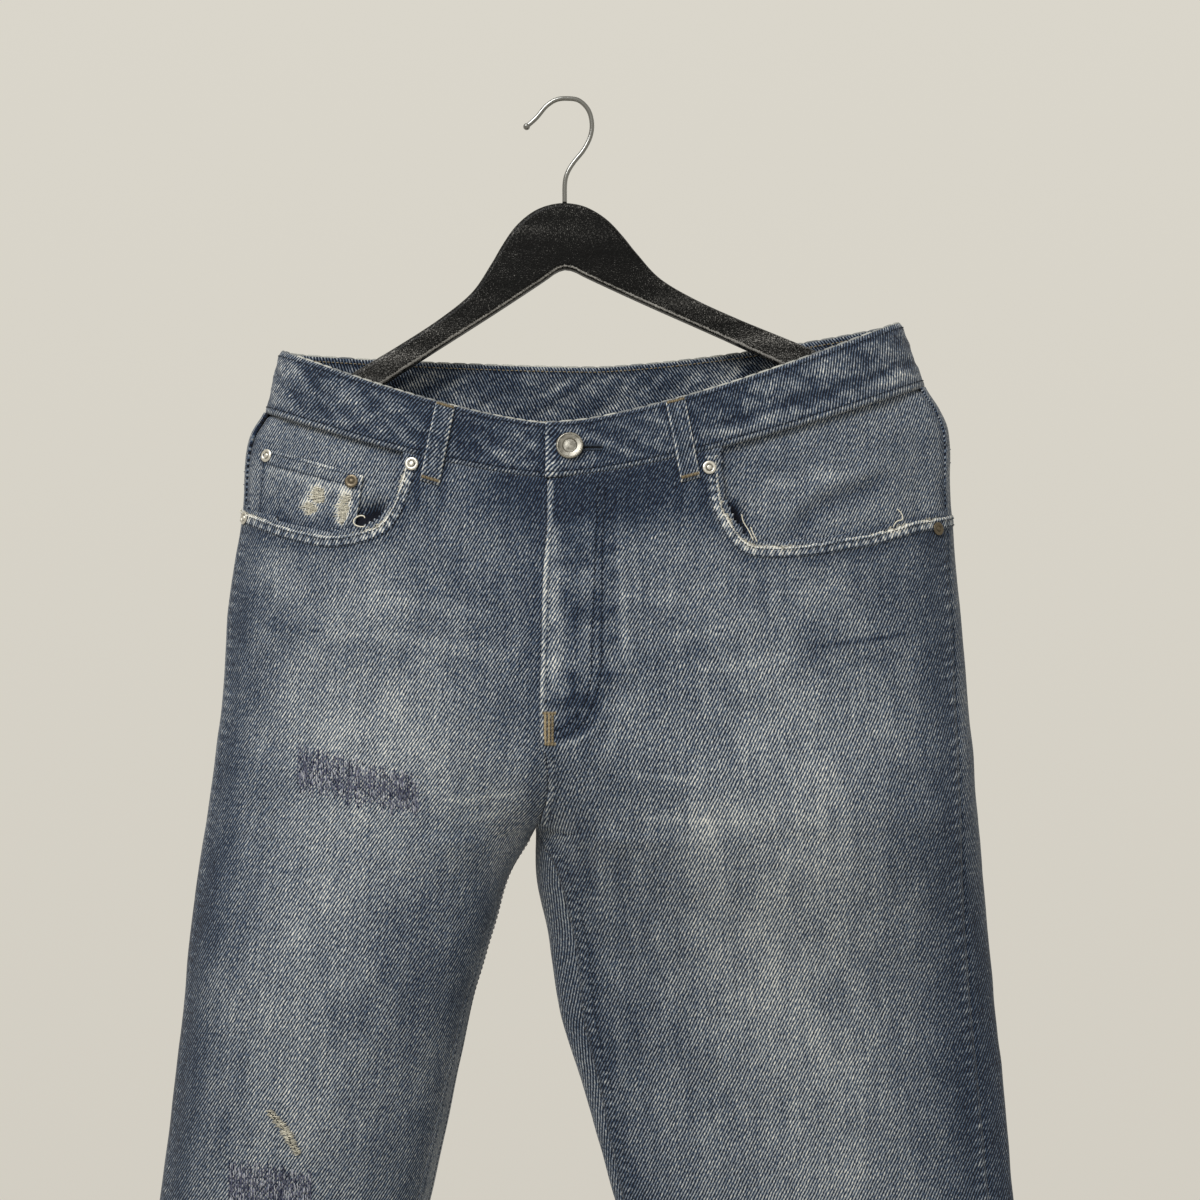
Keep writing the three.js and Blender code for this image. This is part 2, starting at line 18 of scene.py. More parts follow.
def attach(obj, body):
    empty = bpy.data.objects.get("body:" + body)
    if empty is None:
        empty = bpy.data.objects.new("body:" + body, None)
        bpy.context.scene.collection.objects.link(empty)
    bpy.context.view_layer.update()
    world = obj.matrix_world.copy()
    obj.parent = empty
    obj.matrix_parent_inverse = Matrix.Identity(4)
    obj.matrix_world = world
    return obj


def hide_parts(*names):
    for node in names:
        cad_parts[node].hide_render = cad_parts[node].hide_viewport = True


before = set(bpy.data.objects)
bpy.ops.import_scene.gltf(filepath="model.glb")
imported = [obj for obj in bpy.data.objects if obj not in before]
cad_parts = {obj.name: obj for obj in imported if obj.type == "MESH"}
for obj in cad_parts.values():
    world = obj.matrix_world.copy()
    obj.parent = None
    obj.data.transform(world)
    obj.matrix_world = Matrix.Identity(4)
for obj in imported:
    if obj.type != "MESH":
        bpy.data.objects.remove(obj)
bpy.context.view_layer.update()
LOG = logging.getLogger("jeans")
Stations = tuple[tuple[float, float], ...]

MM = 0.001
CLOTH = 2.0
BAND = 2.6
TRIM = 1.3
SEAM_GAP = 0.3
HEM_Z = -1290.0
HEM_HEIGHT = 14.0
CROTCH_Z = -492.0
CROTCH_RISE = 66.0
FRONT_POWER = 2.25
BACK_POWER = 3.4
DRAPE = 1.42
FRONT_COLUMNS = 130
BACK_COLUMNS = 104
ALL_COLUMNS = FRONT_COLUMNS + BACK_COLUMNS
BAND_ROWS = 20
TORSO_ROWS = 104
THIGH_ROWS = 96
SHIN_ROWS = 76
THIGH_END_Z = -770.0
OUTSEAM_PUCKERS = 8.5
INSEAM_PUCKERS = 7.3
GRAIN_INSET = 115.0
PLUMB_Z = -330.0


# ---------------------------------------------------------------- small tools
def linear(code: str) -> tuple[float, float, float, float]:
    """Turns an sRGB hex colour into a linear one.

    Args:
        code: Six hex digits, with or without a hash sign.

    Returns:
        Red, green, blue and alpha, linear.
    """
    code = code.lstrip("#")
    parts = [int(code[i:i + 2], 16) / 255 for i in (0, 2, 4)]
    made = [p / 12.92 if p <= 0.04045 else ((p + 0.055) / 1.055) ** 2.4 for p in parts]
    return (made[0], made[1], made[2], 1.0)


def lattice_noise(x: np.ndarray, y: np.ndarray, scale: float, seed: int) -> np.ndarray:
    """Smooth random relief from -1 to 1 over a plane.

    Args:
        x: First coordinate, in millimetres.
        y: Second coordinate, in millimetres.
        scale: Distance between two lattice points, in millimetres.
        seed: Picks the lattice, so that each call is the same on every run.

    Returns:
        The noise at each point.
    """
    table = np.random.default_rng(seed).uniform(-1, 1, (64, 64))
    gx, gy = np.asarray(x) / scale, np.asarray(y) / scale
    ix, iy = np.floor(gx).astype(int), np.floor(gy).astype(int)
    fx, fy = gx - ix, gy - iy
    fx, fy = fx * fx * (3 - 2 * fx), fy * fy * (3 - 2 * fy)

    def at(i: np.ndarray, j: np.ndarray) -> np.ndarray:
        """The lattice value at whole coordinates, repeating every 64."""
        return table[i % 64, j % 64]

    low = at(ix, iy) * (1 - fx) + at(ix + 1, iy) * fx
    high = at(ix, iy + 1) * (1 - fx) + at(ix + 1, iy + 1) * fx
    return low * (1 - fy) + high * fy


def bell(distance: np.ndarray, width: float) -> np.ndarray:
    """A bell curve of that half-width, 1 at distance 0."""
    return np.exp(-((np.asarray(distance) / width) ** 2))


def step(value: np.ndarray, low: float, high: float) -> np.ndarray:
    """Rises smoothly from 0 at low to 1 at high, and low may be above high."""
    t = np.clip((np.asarray(value) - low) / (high - low), 0, 1)
    return t * t * (3 - 2 * t)


class Curve:
    """A smooth value through stations of height and value, from the top down."""

    def __init__(self, *stations: tuple[float, float]) -> None:
        """Keeps the stations with z rising, and the slope at each.

        Args:
            stations: Pairs of height and value, highest first.
        """
        ordered = np.array(stations[::-1], float)
        self.z, self.value = ordered[:, 0], ordered[:, 1]
        last = len(self.z) - 1
        before = np.maximum(np.arange(last + 1) - 1, 0)
        after = np.minimum(np.arange(last + 1) + 1, last)
        self.slope = (self.value[after] - self.value[before]) / (self.z[after] - self.z[before])

    def __call__(self, z: float) -> float:
        """The value at height z, held level past the ends."""
        if z >= self.z[-1]:
            return float(self.value[-1])
        if z <= self.z[0]:
            return float(self.value[0])
        i = int(np.searchsorted(self.z, z)) - 1
        span = self.z[i + 1] - self.z[i]
        t = (z - self.z[i]) / span
        near = self.value[i] * (1 + 2 * t) * (1 - t) ** 2 + self.slope[i] * span * t * (1 - t) ** 2
        far = self.value[i + 1] * t * t * (3 - 2 * t) - self.slope[i + 1] * span * t * t * (1 - t)
        return float(near + far)


class Side(Enum):
    """The wearer's sides, with the sign of X on each."""

    RIGHT = -1
    LEFT = 1

    @property
    def word(self) -> str:
        """The side's name as the nodes spell it."""
        return self.name.lower()


# ---------------------------------------------------------------- the hanging form
@dataclass(frozen=True)
class SideForm:
    """Where one side of the hanging jeans lies, level by level, in millimetres."""

    side: Side
    band_top: float
    band_seam: float
    outer: Curve
    inner: Curve
    fold: Curve
    front: Curve
    back: Curve
    crease: Curve
    outseam: Curve
    inseam: Curve


RIGHT_FORM = SideForm(
    Side.RIGHT, -171.0, -212.7,
    outer=Curve((-171, -193), (-212, -203), (-228, -212), (-245, -216), (-280, -218), (-345, -226.5),
                (-415, -230), (-515, -242), (-635, -253), (-735, -266), (-857, -281), (-1007, -296),
                (-1290, -316)),
    inner=Curve((-492, -20), (-522, -37), (-567, -49.5), (-607, -60.5), (-680, -75.5), (-735, -87.5),
                (-857, -111), (-1007, -130), (-1290, -152)),
    fold=Curve((-492, -22), (-560, -34), (-735, -38), (-1000, -30), (-1290, -20)),
    front=Curve((-492, 54), (-560, 57), (-735, 55), (-1000, 45), (-1290, 42)),
    back=Curve((-492, 36), (-560, 44), (-735, 50), (-1000, 44), (-1290, 36)),
    crease=Curve((-540, 0), (-640, 26), (-800, 36), (-1100, 26), (-1290, 16)),
    outseam=Curve((-171, 3), (-735, 5), (-1290, 5)),
    inseam=Curve((-492, 0), (-570, 4), (-735, 8), (-1290, 8)),
)
LEFT_FORM = SideForm(
    Side.LEFT, -151.5, -195.0,
    outer=Curve((-151, 226), (-195, 243), (-210, 252.5), (-226, 258.5), (-277, 259.5), (-345, 264.5),
                (-425, 270.5), (-530, 279), (-640, 291.5), (-743, 302.5), (-860, 314), (-1007, 325),
                (-1290, 340)),
    inner=Curve((-492, -20), (-522, -20), (-542, -16.5), (-569, -11), (-621, -3.5), (-662, 9.5),
                (-743, 32), (-860, 66), (-1007, 102), (-1290, 145)),
    fold=Curve((-492, -22), (-560, -14), (-640, -11), (-1000, -8), (-1290, -6)),
    front=Curve((-492, 54), (-540, 38), (-640, 24), (-1000, 19), (-1290, 18)),
    back=Curve((-492, 36), (-540, 26), (-640, 18), (-1000, 16), (-1290, 15)),
    crease=Curve((-492, 0), (-1290, 0)),
    outseam=Curve((-171, 4), (-275, 6), (-377, 10), (-518, 17), (-743, 19), (-1290, 18)),
    inseam=Curve((-494, 0), (-512, 13), (-536, 18), (-620, 16), (-743, 7), (-1290, 7)),
)


@dataclass(frozen=True)
class TorsoForm:
    """The middle of the torso, which both sides share, in millimetres."""

    front_top: float = -224.0
    front_seam: float = -260.0
    back_top: float = -179.0
    back_seam: float = -218.5
    front_line: Curve = Curve((-224, -9.5), (-260, -9.5), (-328, -12.8), (-412, -14.3), (-440, -11),
                              (-465, -11), (-492, -20))
    back_line: Curve = Curve((-179, 18.5), (-219, 18.5), (-350, 4), (-440, -10), (-492, -20))
    fold: Curve = Curve((-179, 0), (-250, -1), (-320, -6), (-400, -14), (-492, -22))
    front: Curve = Curve((-224, 50), (-260, 56), (-320, 60), (-400, 60), (-492, 54))
    back: Curve = Curve((-179, 18), (-250, 21), (-320, 27), (-400, 32), (-492, 36))


TORSO = TorsoForm()


@dataclass(frozen=True)
class Level:
    """One level section of a side: its extents, its depths and its three heights."""

    form: SideForm
    outer: float
    front_end: float
    back_end: float
    open_angle: float
    fold: float
    front: float
    back: float
    crease: float
    outseam: float
    inseam: float
    z_side: float
    z_front: float
    z_back: float

    @classmethod
    def torso(cls, form: SideForm, z_side: float, z_front: float, z_back: float) -> "Level":
        """A section above the crotch, open towards the other side.

        Args:
            form: The side's form.
            z_side: Height at the outer fold.
            z_front: Height at the middle of the front.
            z_back: Height at the middle of the back.

        Returns:
            The section.
        """
        turned = min(max((z_front - CROTCH_Z) / CROTCH_RISE, 0.0), 1.0)
        shift = form.side.value * SEAM_GAP / 2
        return cls(form, form.outer(z_side), TORSO.front_line(z_front) + shift,
                   TORSO.back_line(z_back) + shift, math.acos(1 - turned), TORSO.fold(z_front),
                   TORSO.front(z_front), TORSO.back(z_front), 0.0, form.outseam(z_side), 0.0,
                   z_side, z_front, z_back)

    @classmethod
    def leg(cls, form: SideForm, z: float) -> "Level":
        """A closed section below the crotch, at one height."""
        inner = form.inner(z) + form.side.value * SEAM_GAP / 2
        return cls(form, form.outer(z), inner, inner, 0.0, form.fold(z), form.front(z), form.back(z),
                   form.crease(z), form.outseam(z), form.inseam(z), z, z, z)

    def half(self, is_front: bool) -> np.ndarray:
        """Half of the section, over the front or the back.

        Args:
            is_front: Whether it is the front or the back.

        Returns:
            Points from the outer fold to the inner end.
        """
        power = FRONT_POWER if is_front else BACK_POWER
        end = self.front_end if is_front else self.back_end
        reach = abs(self.outer - end)
        radius = reach / (1 + math.cos(self.open_angle) ** (2 / power))
        angle = np.linspace(0, math.pi - self.open_angle, 500)
        cos, sin = np.cos(angle), np.clip(np.sin(angle), 0, 1)
        x = self.outer - self.form.side.value * radius * (1 - np.sign(cos) * np.abs(cos) ** (2 / power))
        across = np.abs(x - self.outer) / reach
        depth = sin ** (2 / power)
        if is_front:
            y = self.fold - self.front * depth
        else:
            y = self.fold + self.back * depth - self.crease * bell(across - 0.52, 0.2)
        drop = 1 - (1 - np.minimum(across, 1)) ** DRAPE
        z = self.z_side + ((self.z_front if is_front else self.z_back) - self.z_side) * drop
        return np.stack([x, y, z], axis=1)

    def ring(self, front_columns: int, back_columns: int) -> np.ndarray:
        """The whole section, with points spaced evenly over each panel.

        Args:
            front_columns: How many cells the front panel has across.
            back_columns: How many cells the back panel has across.

        Returns:
            Points from the inner front end, by the outseam and the back, to the inner back end.
        """
        front, back = self.half(True), self.half(False)
        near = np.abs(front[:, 0] - self.outer)
        width = abs(self.outer - self.front_end)
        seam = int(np.argmax(near >= self.outseam))
        inner = len(front) - 1
        if self.inseam > 0:
            inner = int(np.argmax(near >= width - self.inseam))
        panel = front[seam:inner + 1][::-1]
        rear = np.concatenate([front[:seam + 1][::-1], back[1:], front[inner:][::-1][1:]])
        return np.concatenate([spread(panel, front_columns), spread(rear, back_columns)[1:]])


def spread(points: np.ndarray, count: int) -> np.ndarray:
    """Places count + 1 points evenly along a run of points."""
    run = lengths_along(points)
    want = np.linspace(0, run[-1], count + 1)
    return np.stack([np.interp(want, run, points[:, k]) for k in range(points.shape[1])], axis=1)


def lengths_along(points: np.ndarray) -> np.ndarray:
    """The distance run at each point of a run of points."""
    gaps = np.linalg.norm(np.diff(points, axis=0), axis=1)
    return np.concatenate([[0.0], np.cumsum(gaps)])


def unit(vectors: np.ndarray) -> np.ndarray:
    """The vectors, each made one long."""
    return vectors / np.maximum(np.linalg.norm(vectors, axis=-1, keepdims=True), 1e-9)


# ---------------------------------------------------------------- meshes
@dataclass
class MeshParts:
    """Points, faces and per-point values that grow into one mesh, in millimetres."""

    points: list[np.ndarray] = field(default_factory=list)
    faces: list[np.ndarray] = field(default_factory=list)
    shade: list[np.ndarray] = field(default_factory=list)
    count: int = 0

    def add(self, points: np.ndarray, faces: np.ndarray, shade: float = 0.5) -> None:
        """Takes in more points and the faces between them.

        Args:
            points: One row per point, in millimetres.
            faces: One row of point numbers per face.
            shade: How pale they are, from 0 to 1.
        """
        self.points.append(points)
        self.faces.append(faces + self.count)
        self.shade.append(np.broadcast_to(np.asarray(shade, float), (len(points),)))
        self.count += len(points)

    def piece(self, name: str) -> bpy.types.Object:
        """Makes the object, with the shade as a point attribute."""
        points, faces = np.concatenate(self.points), np.concatenate(self.faces)
        return make_piece(name, points, faces, None, {"shade": np.concatenate(self.shade)})


def make_piece(name: str, points: np.ndarray, faces: np.ndarray, uv: np.ndarray | None = None,
               fields: dict[str, np.ndarray] | None = None) -> bpy.types.Object:
    """Makes a mesh object from millimetre points.

    Args:
        name: The piece's name.
        points: One row per point.
        faces: One row of four point numbers per face.
        uv: A flat position of each point in metres, for the weave.
        fields: Point attributes by name.

    Returns:
        The object, at the origin.
    """
    mesh = bpy.data.meshes.new(name)
    mesh.from_pydata((points * MM).tolist(), [], faces.tolist())
    mesh.polygons.foreach_set("use_smooth", np.ones(len(mesh.polygons), bool))
    if uv is not None:
        corners = np.empty(len(mesh.loops), np.int32)
        mesh.loops.foreach_get("vertex_index", corners)
        mesh.uv_layers.new(name="cloth").uv.foreach_set("vector", uv[corners].astype(np.float32).ravel())
    for key, values in (fields or {}).items():
        mesh.attributes.new(key, "FLOAT", "POINT").data.foreach_set("value", values.astype(np.float32))
    mesh.update()
    obj = bpy.data.objects.new(name, mesh)
    bpy.context.collection.objects.link(obj)
    return obj


def wall_faces(keep: np.ndarray, closed: bool) -> np.ndarray:
    """Faces of a closed wall on a grid, from the cells that are kept.

    Args:
        keep: One flag for each cell of the grid.
        closed: Whether the last column joins the first.

    Returns:
        Rows of four point numbers; inner points follow the outer ones.
    """
    rows, columns = keep.shape[0] + 1, keep.shape[1] + (0 if closed else 1)
    i, j = np.nonzero(keep)
    right = (j + 1) % columns
    layer = rows * columns
    a, b = i * columns + j, i * columns + right
    c, d = (i + 1) * columns + right, (i + 1) * columns + j
    faces = [np.stack([a, b, c, d], 1), np.stack([d, c, b, a], 1) + layer]
    padded = np.pad(keep, 1)
    if closed:
        padded[:, 0], padded[:, -1] = padded[:, -2], padded[:, 1]
    for edge, shift in (((a, b), (-1, 0)), ((b, c), (0, 1)), ((c, d), (1, 0)), ((d, a), (0, -1))):
        bare = ~padded[i + 1 + shift[0], j + 1 + shift[1]]
        p, q = edge[0][bare], edge[1][bare]
        faces.append(np.stack([q, p, p + layer, q + layer], 1))
    return np.concatenate(faces)


def shell(name: str, outer: np.ndarray, inner: np.ndarray, uv: np.ndarray, wear_and_shade: np.ndarray,
          keep: np.ndarray | None = None, closed: bool = False, least: float = 0.02) -> bpy.types.Object:
    """A closed cloth wall between two grids of points.

    Args:
        name: The piece's name.
        outer: Grid of points on the face side.
        inner: Grid of points on the back side.
        uv: Weave position of each grid point, in metres.
        wear_and_shade: How far the dye has worn away at each grid point, lowered where shade is painted.
        keep: Which cells the cloth has, all of them if left out.
        closed: Whether the last column joins the first.
        least: The least value of it that is let through.

    Returns:
        The object, with its wear and painted shade, and an "inside" value of 1 on its back side.
    """
    rows, columns = outer.shape[:2]
    if keep is None:
        keep = np.ones((rows - 1, columns if closed else columns - 1), bool)
    faces = wall_faces(keep, closed)
    points = np.concatenate([outer.reshape(-1, 3), inner.reshape(-1, 3)])
    spots = np.concatenate([uv.reshape(-1, 2)] * 2)
    flat = np.clip(np.broadcast_to(wear_and_shade, (rows, columns)), least, 1.0).ravel()
    values = {"wear_and_shade": np.concatenate([flat] * 2), "inside": np.repeat([0.0, 1.0], rows * columns)}
    used = np.unique(faces)
    renumber = np.zeros(len(points), int)
    renumber[used] = np.arange(len(used))
    faces, points = renumber[faces], points[used]
    a, b, c, d = (points[faces[:, k]] for k in range(4))
    volume = np.einsum("ij,ij->i", a, np.cross(b, c) + np.cross(c, d)).sum()
    if volume < 0:
        faces = faces[:, ::-1]
    return make_piece(name, points, faces, spots[used], {key: value[used] for key, value in values.items()})


def tube(points: np.ndarray, radius: float, sides: int = 4) -> tuple[np.ndarray, np.ndarray]:
    """A closed thread along a few points, in millimetres.

    Args:
        points: The thread's centre line.
        radius: Its half thickness in the middle; it thins at both ends.
        sides: How many sides its section has.

    Returns:
        Its points and its faces.
    """
    along = unit(np.gradient(points, axis=0))
    up = np.where(np.abs(along[:, 1:2]) < 0.9, np.array([[0.0, 1.0, 0.0]]), np.array([[1.0, 0.0, 0.0]]))
    first = unit(np.cross(along, up))
    second = np.cross(along, first)
    angle = np.arange(sides) * 2 * math.pi / sides
    thin = np.full(len(points), radius)
    thin[0] = thin[-1] = radius * 0.45
    rings = points[:, None] + thin[:, None, None] * (
        first[:, None] * np.cos(angle)[None, :, None] + second[:, None] * np.sin(angle)[None, :, None])
    return rings.reshape(-1, 3), ring_faces(len(points), sides)


def ring_faces(rings: int, sides: int) -> np.ndarray:
    """Faces of a closed run of rings.

    Args:
        rings: How many rings there are.
        sides: How many points each has, four where the two caps are to close it.

    Returns:
        Rows of four point numbers, with the two caps last.
    """
    i, k = np.meshgrid(np.arange(rings - 1), np.arange(sides), indexing="ij")
    i, k = i.ravel(), k.ravel()
    after = (k + 1) % sides
    body = np.stack([i * sides + k, (i + 1) * sides + k, (i + 1) * sides + after, i * sides + after], 1)
    last = (rings - 1) * sides
    caps = np.array([[0, 1, 2, 3], [last + 3, last + 2, last + 1, last]])
    return np.concatenate([body, caps])


@dataclass(frozen=True)
class Stitch:
    """One kind of stitching: distance from hole to hole, length of thread that shows, and thickness."""

    pitch: float = 3.2
    shown: float = 2.5
    radius: float = 0.34

    def sew(self, parts: MeshParts, line: np.ndarray, normals: np.ndarray, shade: float = 0.5) -> None:
        """Adds a row of stitches along a line on the cloth.

        Args:
            parts: The mesh that takes them.
            line: Points on the cloth.
            normals: The cloth's outward direction at each point.
            shade: How pale the thread is, from 0 to 1.
        """
        run = lengths_along(line)
        count = int(run[-1] / self.pitch)
        if count < 1:
            return
        starts = np.arange(count) * self.pitch + 0.2
        rise = np.array([-0.25, 0.22, 0.22, -0.25])
        width = np.array([0.5, 1.0, 1.0, 0.5]) * self.radius
        at = starts[:, None] + np.array([0.0, 0.2, 0.8, 1.0])[None] * self.shown
        spots = np.stack([np.interp(at, run, line[:, k]) for k in range(3)], -1)
        out = unit(np.stack([np.interp(at, run, normals[:, k]) for k in range(3)], -1))
        along = unit(spots[:, 3:4] - spots[:, 0:1])
        aside = unit(np.cross(np.broadcast_to(along, out.shape), out))
        angle = np.arange(4) * math.pi / 2 + math.pi / 4
        rings = spots[:, :, None] + out[:, :, None] * (rise[None, :, None, None] + width[None, :, None, None]
                                                      * np.cos(angle)[None, None, :, None])
        rings = rings + aside[:, :, None] * width[None, :, None, None] * np.sin(angle)[None, None, :, None]
        faces = ring_faces(4, 4)[None] + (np.arange(count) * 16)[:, None, None]
        parts.add(rings.reshape(-1, 3), faces.reshape(-1, 4), shade)


# ---------------------------------------------------------------- materials
Tree = bpy.types.NodeTree
Socket = bpy.types.NodeSocket
ADD = {"operation": "ADD"}
MAXIMUM = {"operation": "MAXIMUM"}
MULTIPLY = {"operation": "MULTIPLY"}
MULTIPLY_ADD = {"operation": "MULTIPLY_ADD"}
INDIGO_RAMP = ((0.0, "040918"), (0.17, "13233c"), (0.32, "34465c"), (0.47, "5e6a79"),
               (0.62, "858a8f"), (0.80, "afb2b1"), (1.0, "e1dfd6"))


def add_node(tree: Tree, kind: str, settings: dict | None = None,
             inputs: dict | tuple = ()) -> bpy.types.Node:
    """Adds a node to a material, with its settings and its links.

    Args:
        tree: The material's node tree.
        kind: The node's type, without the "ShaderNode" that it starts with.
        settings: Values for its properties; "stops" gives a ramp's places and hex colours.
        inputs: What its sockets take, by name or in order: a value, or an output to link.

    Returns:
        The node.
    """
    node = tree.nodes.new(f"ShaderNode{kind}")
    for key, value in (settings or {}).items():
        if key == "stops":
            set_stops(node.color_ramp.elements, value)
        else:
            setattr(node, key, value)
    for key, value in inputs.items() if isinstance(inputs, dict) else enumerate(inputs):
        if isinstance(value, Socket):
            tree.links.new(value, node.inputs[key])
        else:
            node.inputs[key].default_value = value
    return node


def set_stops(elements: bpy.types.ColorRampElements, stops: tuple[tuple[float, str], ...]) -> None:
    """Sets the stops of a colour ramp.

    Args:
        elements: The ramp's own stops.
        stops: The place and the hex colour of each.
    """
    while len(elements) < len(stops):
        elements.new(0.5)
    for element, (position, code) in zip(elements, stops, strict=True):
        element.position = position
        element.color = linear(code)


def swung(tree: Tree, value: Socket, gain: float, level: Socket | float) -> Socket:
    """Moves a level up and down with a pattern.

    Args:
        tree: The material's node tree.
        value: The pattern, from 0 to 1.
        gain: How far it moves the level.
        level: The level.

    Returns:
        The new level.
    """
    off = add_node(tree, "Math", ADD, (value, -0.5)).outputs[0]
    return add_node(tree, "Math", MULTIPLY_ADD, (off, gain, level)).outputs[0]


class Finish:
    """A finish of the object; each kind says what its shader takes."""

    name: str

    def pattern(self, tree: Tree) -> dict[str, object]:
        """The shader's inputs by name."""
        raise NotImplementedError

    def make(self) -> bpy.types.Material:
        """Makes the material.

        Returns:
            The material, with its pattern, its shader and its output.
        """
        material = bpy.data.materials.new(self.name)
        material.use_nodes = True
        tree = material.node_tree
        tree.nodes.clear()
        shader = add_node(tree, "BsdfPrincipled", {}, self.pattern(tree))
        add_node(tree, "OutputMaterial", {}, {"Surface": shader.outputs[0]})
        return material


@dataclass(frozen=True)
class Denim(Finish):
    """Indigo denim: a cotton right-hand twill of blue warp over white weft, stone washed.

    The warp's dye sits on the outside of each yarn, so wear shows white on every raised
    spot; the cloth is matt with a faint fuzz. The real ribs stand about 0.8 mm apart,
    and are drawn here at the coarser pitch below so that they show.
    """

    name: str
    rib_pitch: float = 1.8
    contrast: float = 0.88
    inside_gain: float = 0.1

    def pattern(self, tree: Tree) -> dict[str, object]:
        """The shader's inputs.

        Args:
            tree: The material's node tree.

        Returns:
            The inputs, read from the cloth UV map, from the wear values with their painted shade, and from
            the inside values.
        """
        place = add_node(tree, "UVMap", {"uv_map": "cloth"}).outputs[0]
        wear_and_shade = add_node(tree, "Attribute", {"attribute_name": "wear_and_shade"}).outputs["Fac"]
        inside = add_node(tree, "Attribute", {"attribute_name": "inside"}).outputs["Fac"]
        bend = add_node(tree, "TexNoise", {}, {"Vector": place, "Scale": 120.0, "Detail": 2.0}).outputs["Fac"]
        wobble = add_node(tree, "Math", MULTIPLY_ADD, (bend, 0.0012, -0.0006)).outputs[0]
        split = add_node(tree, "SeparateXYZ", {}, (place,))
        # Ribs climb to the right at about 60 degrees.
        slant = add_node(tree, "Math", MULTIPLY_ADD, (split.outputs[0], 0.86, wobble)).outputs[0]
        across = add_node(tree, "Math", MULTIPLY_ADD, (split.outputs[1], -0.5, slant)).outputs[0]
        phase = add_node(tree, "Math", MULTIPLY, (across, 2 * math.pi / (self.rib_pitch * MM))).outputs[0]
        sine = add_node(tree, "Math", {"operation": "SINE"}, (phase,)).outputs[0]
        rib = add_node(tree, "Math", MULTIPLY, (sine, 0.5)).outputs[0]
        # Yarn ends float over the weft and break each rib into short pale dashes.
        drawn = add_node(tree, "Mapping", {}, {"Vector": place, "Scale": (760.0, 400.0, 1.0)}).outputs[0]
        dash = add_node(tree, "TexNoise", {},
                        {"Vector": drawn, "Scale": 1.0, "Detail": 1.5, "Roughness": 0.7}).outputs["Fac"]
        # Uneven warp yarns leave faint streaks that run down the leg.
        drawn = add_node(tree, "Mapping", {}, {"Vector": place, "Scale": (420.0, 26.0, 1.0)}).outputs[0]
        slub = add_node(tree, "TexNoise", {}, {"Vector": drawn, "Scale": 1.0, "Detail": 3.0}).outputs["Fac"]
        blotch = add_node(tree, "TexNoise", {},
                          {"Vector": place, "Scale": 34.0, "Detail": 4.0, "Roughness": 0.65}).outputs["Fac"]
        dashes = add_node(tree, "Math", MULTIPLY_ADD, (dash, 1.3, -0.65)).outputs[0]
        grain = add_node(tree, "Math", MULTIPLY_ADD, (rib, 0.78, dashes)).outputs[0]
        grain = swung(tree, slub, 0.35, grain)
        level = add_node(tree, "Math", MULTIPLY_ADD, (grain, self.contrast, wear_and_shade)).outputs[0]
        level = swung(tree, blotch, 0.2, level)
        level = add_node(tree, "Math", MULTIPLY_ADD, (inside, self.inside_gain, level)).outputs[0]
        colour = add_node(tree, "ValToRGB", {"stops": INDIGO_RAMP}, (level,)).outputs["Color"]
        height = add_node(tree, "Math", MULTIPLY_ADD, (rib, 0.8, dash)).outputs[0]
        bump = add_node(tree, "Bump", {}, {"Height": height, "Strength": 0.55, "Distance": 0.0004})
        return {"Base Color": colour, "Normal": bump.outputs[0], "Roughness": 0.93,
                "Specular IOR Level": 0.18, "Sheen Weight": 0.12, "Sheen Roughness": 0.6}


@dataclass(frozen=True)
class Thread(Finish):
    """Spun cotton thread: matt, softly twisted, with a little variation from end to end."""

    name: str
    dark: str
    pale: str

    def pattern(self, tree: Tree) -> dict[str, object]:
        """The shader's inputs.

        Args:
            tree: The material's node tree.

        Returns:
            The inputs, read from each thread's shade value.
        """
        shade = add_node(tree, "Attribute", {"attribute_name": "shade"}).outputs["Fac"]
        place = add_node(tree, "TexCoord").outputs["Object"]
        fuzz = add_node(tree, "TexNoise", {}, {"Vector": place, "Scale": 900.0, "Detail": 2.0}).outputs["Fac"]
        level = swung(tree, fuzz, 0.7, shade)
        stops = ((0.0, self.dark), (1.0, self.pale))
        colour = add_node(tree, "ValToRGB", {"stops": stops}, (level,)).outputs["Color"]
        bump = add_node(tree, "Bump", {}, {"Height": fuzz, "Strength": 0.4, "Distance": 0.0003})
        return {"Base Color": colour, "Normal": bump.outputs[0], "Roughness": 0.9, "Specular IOR Level": 0.2}


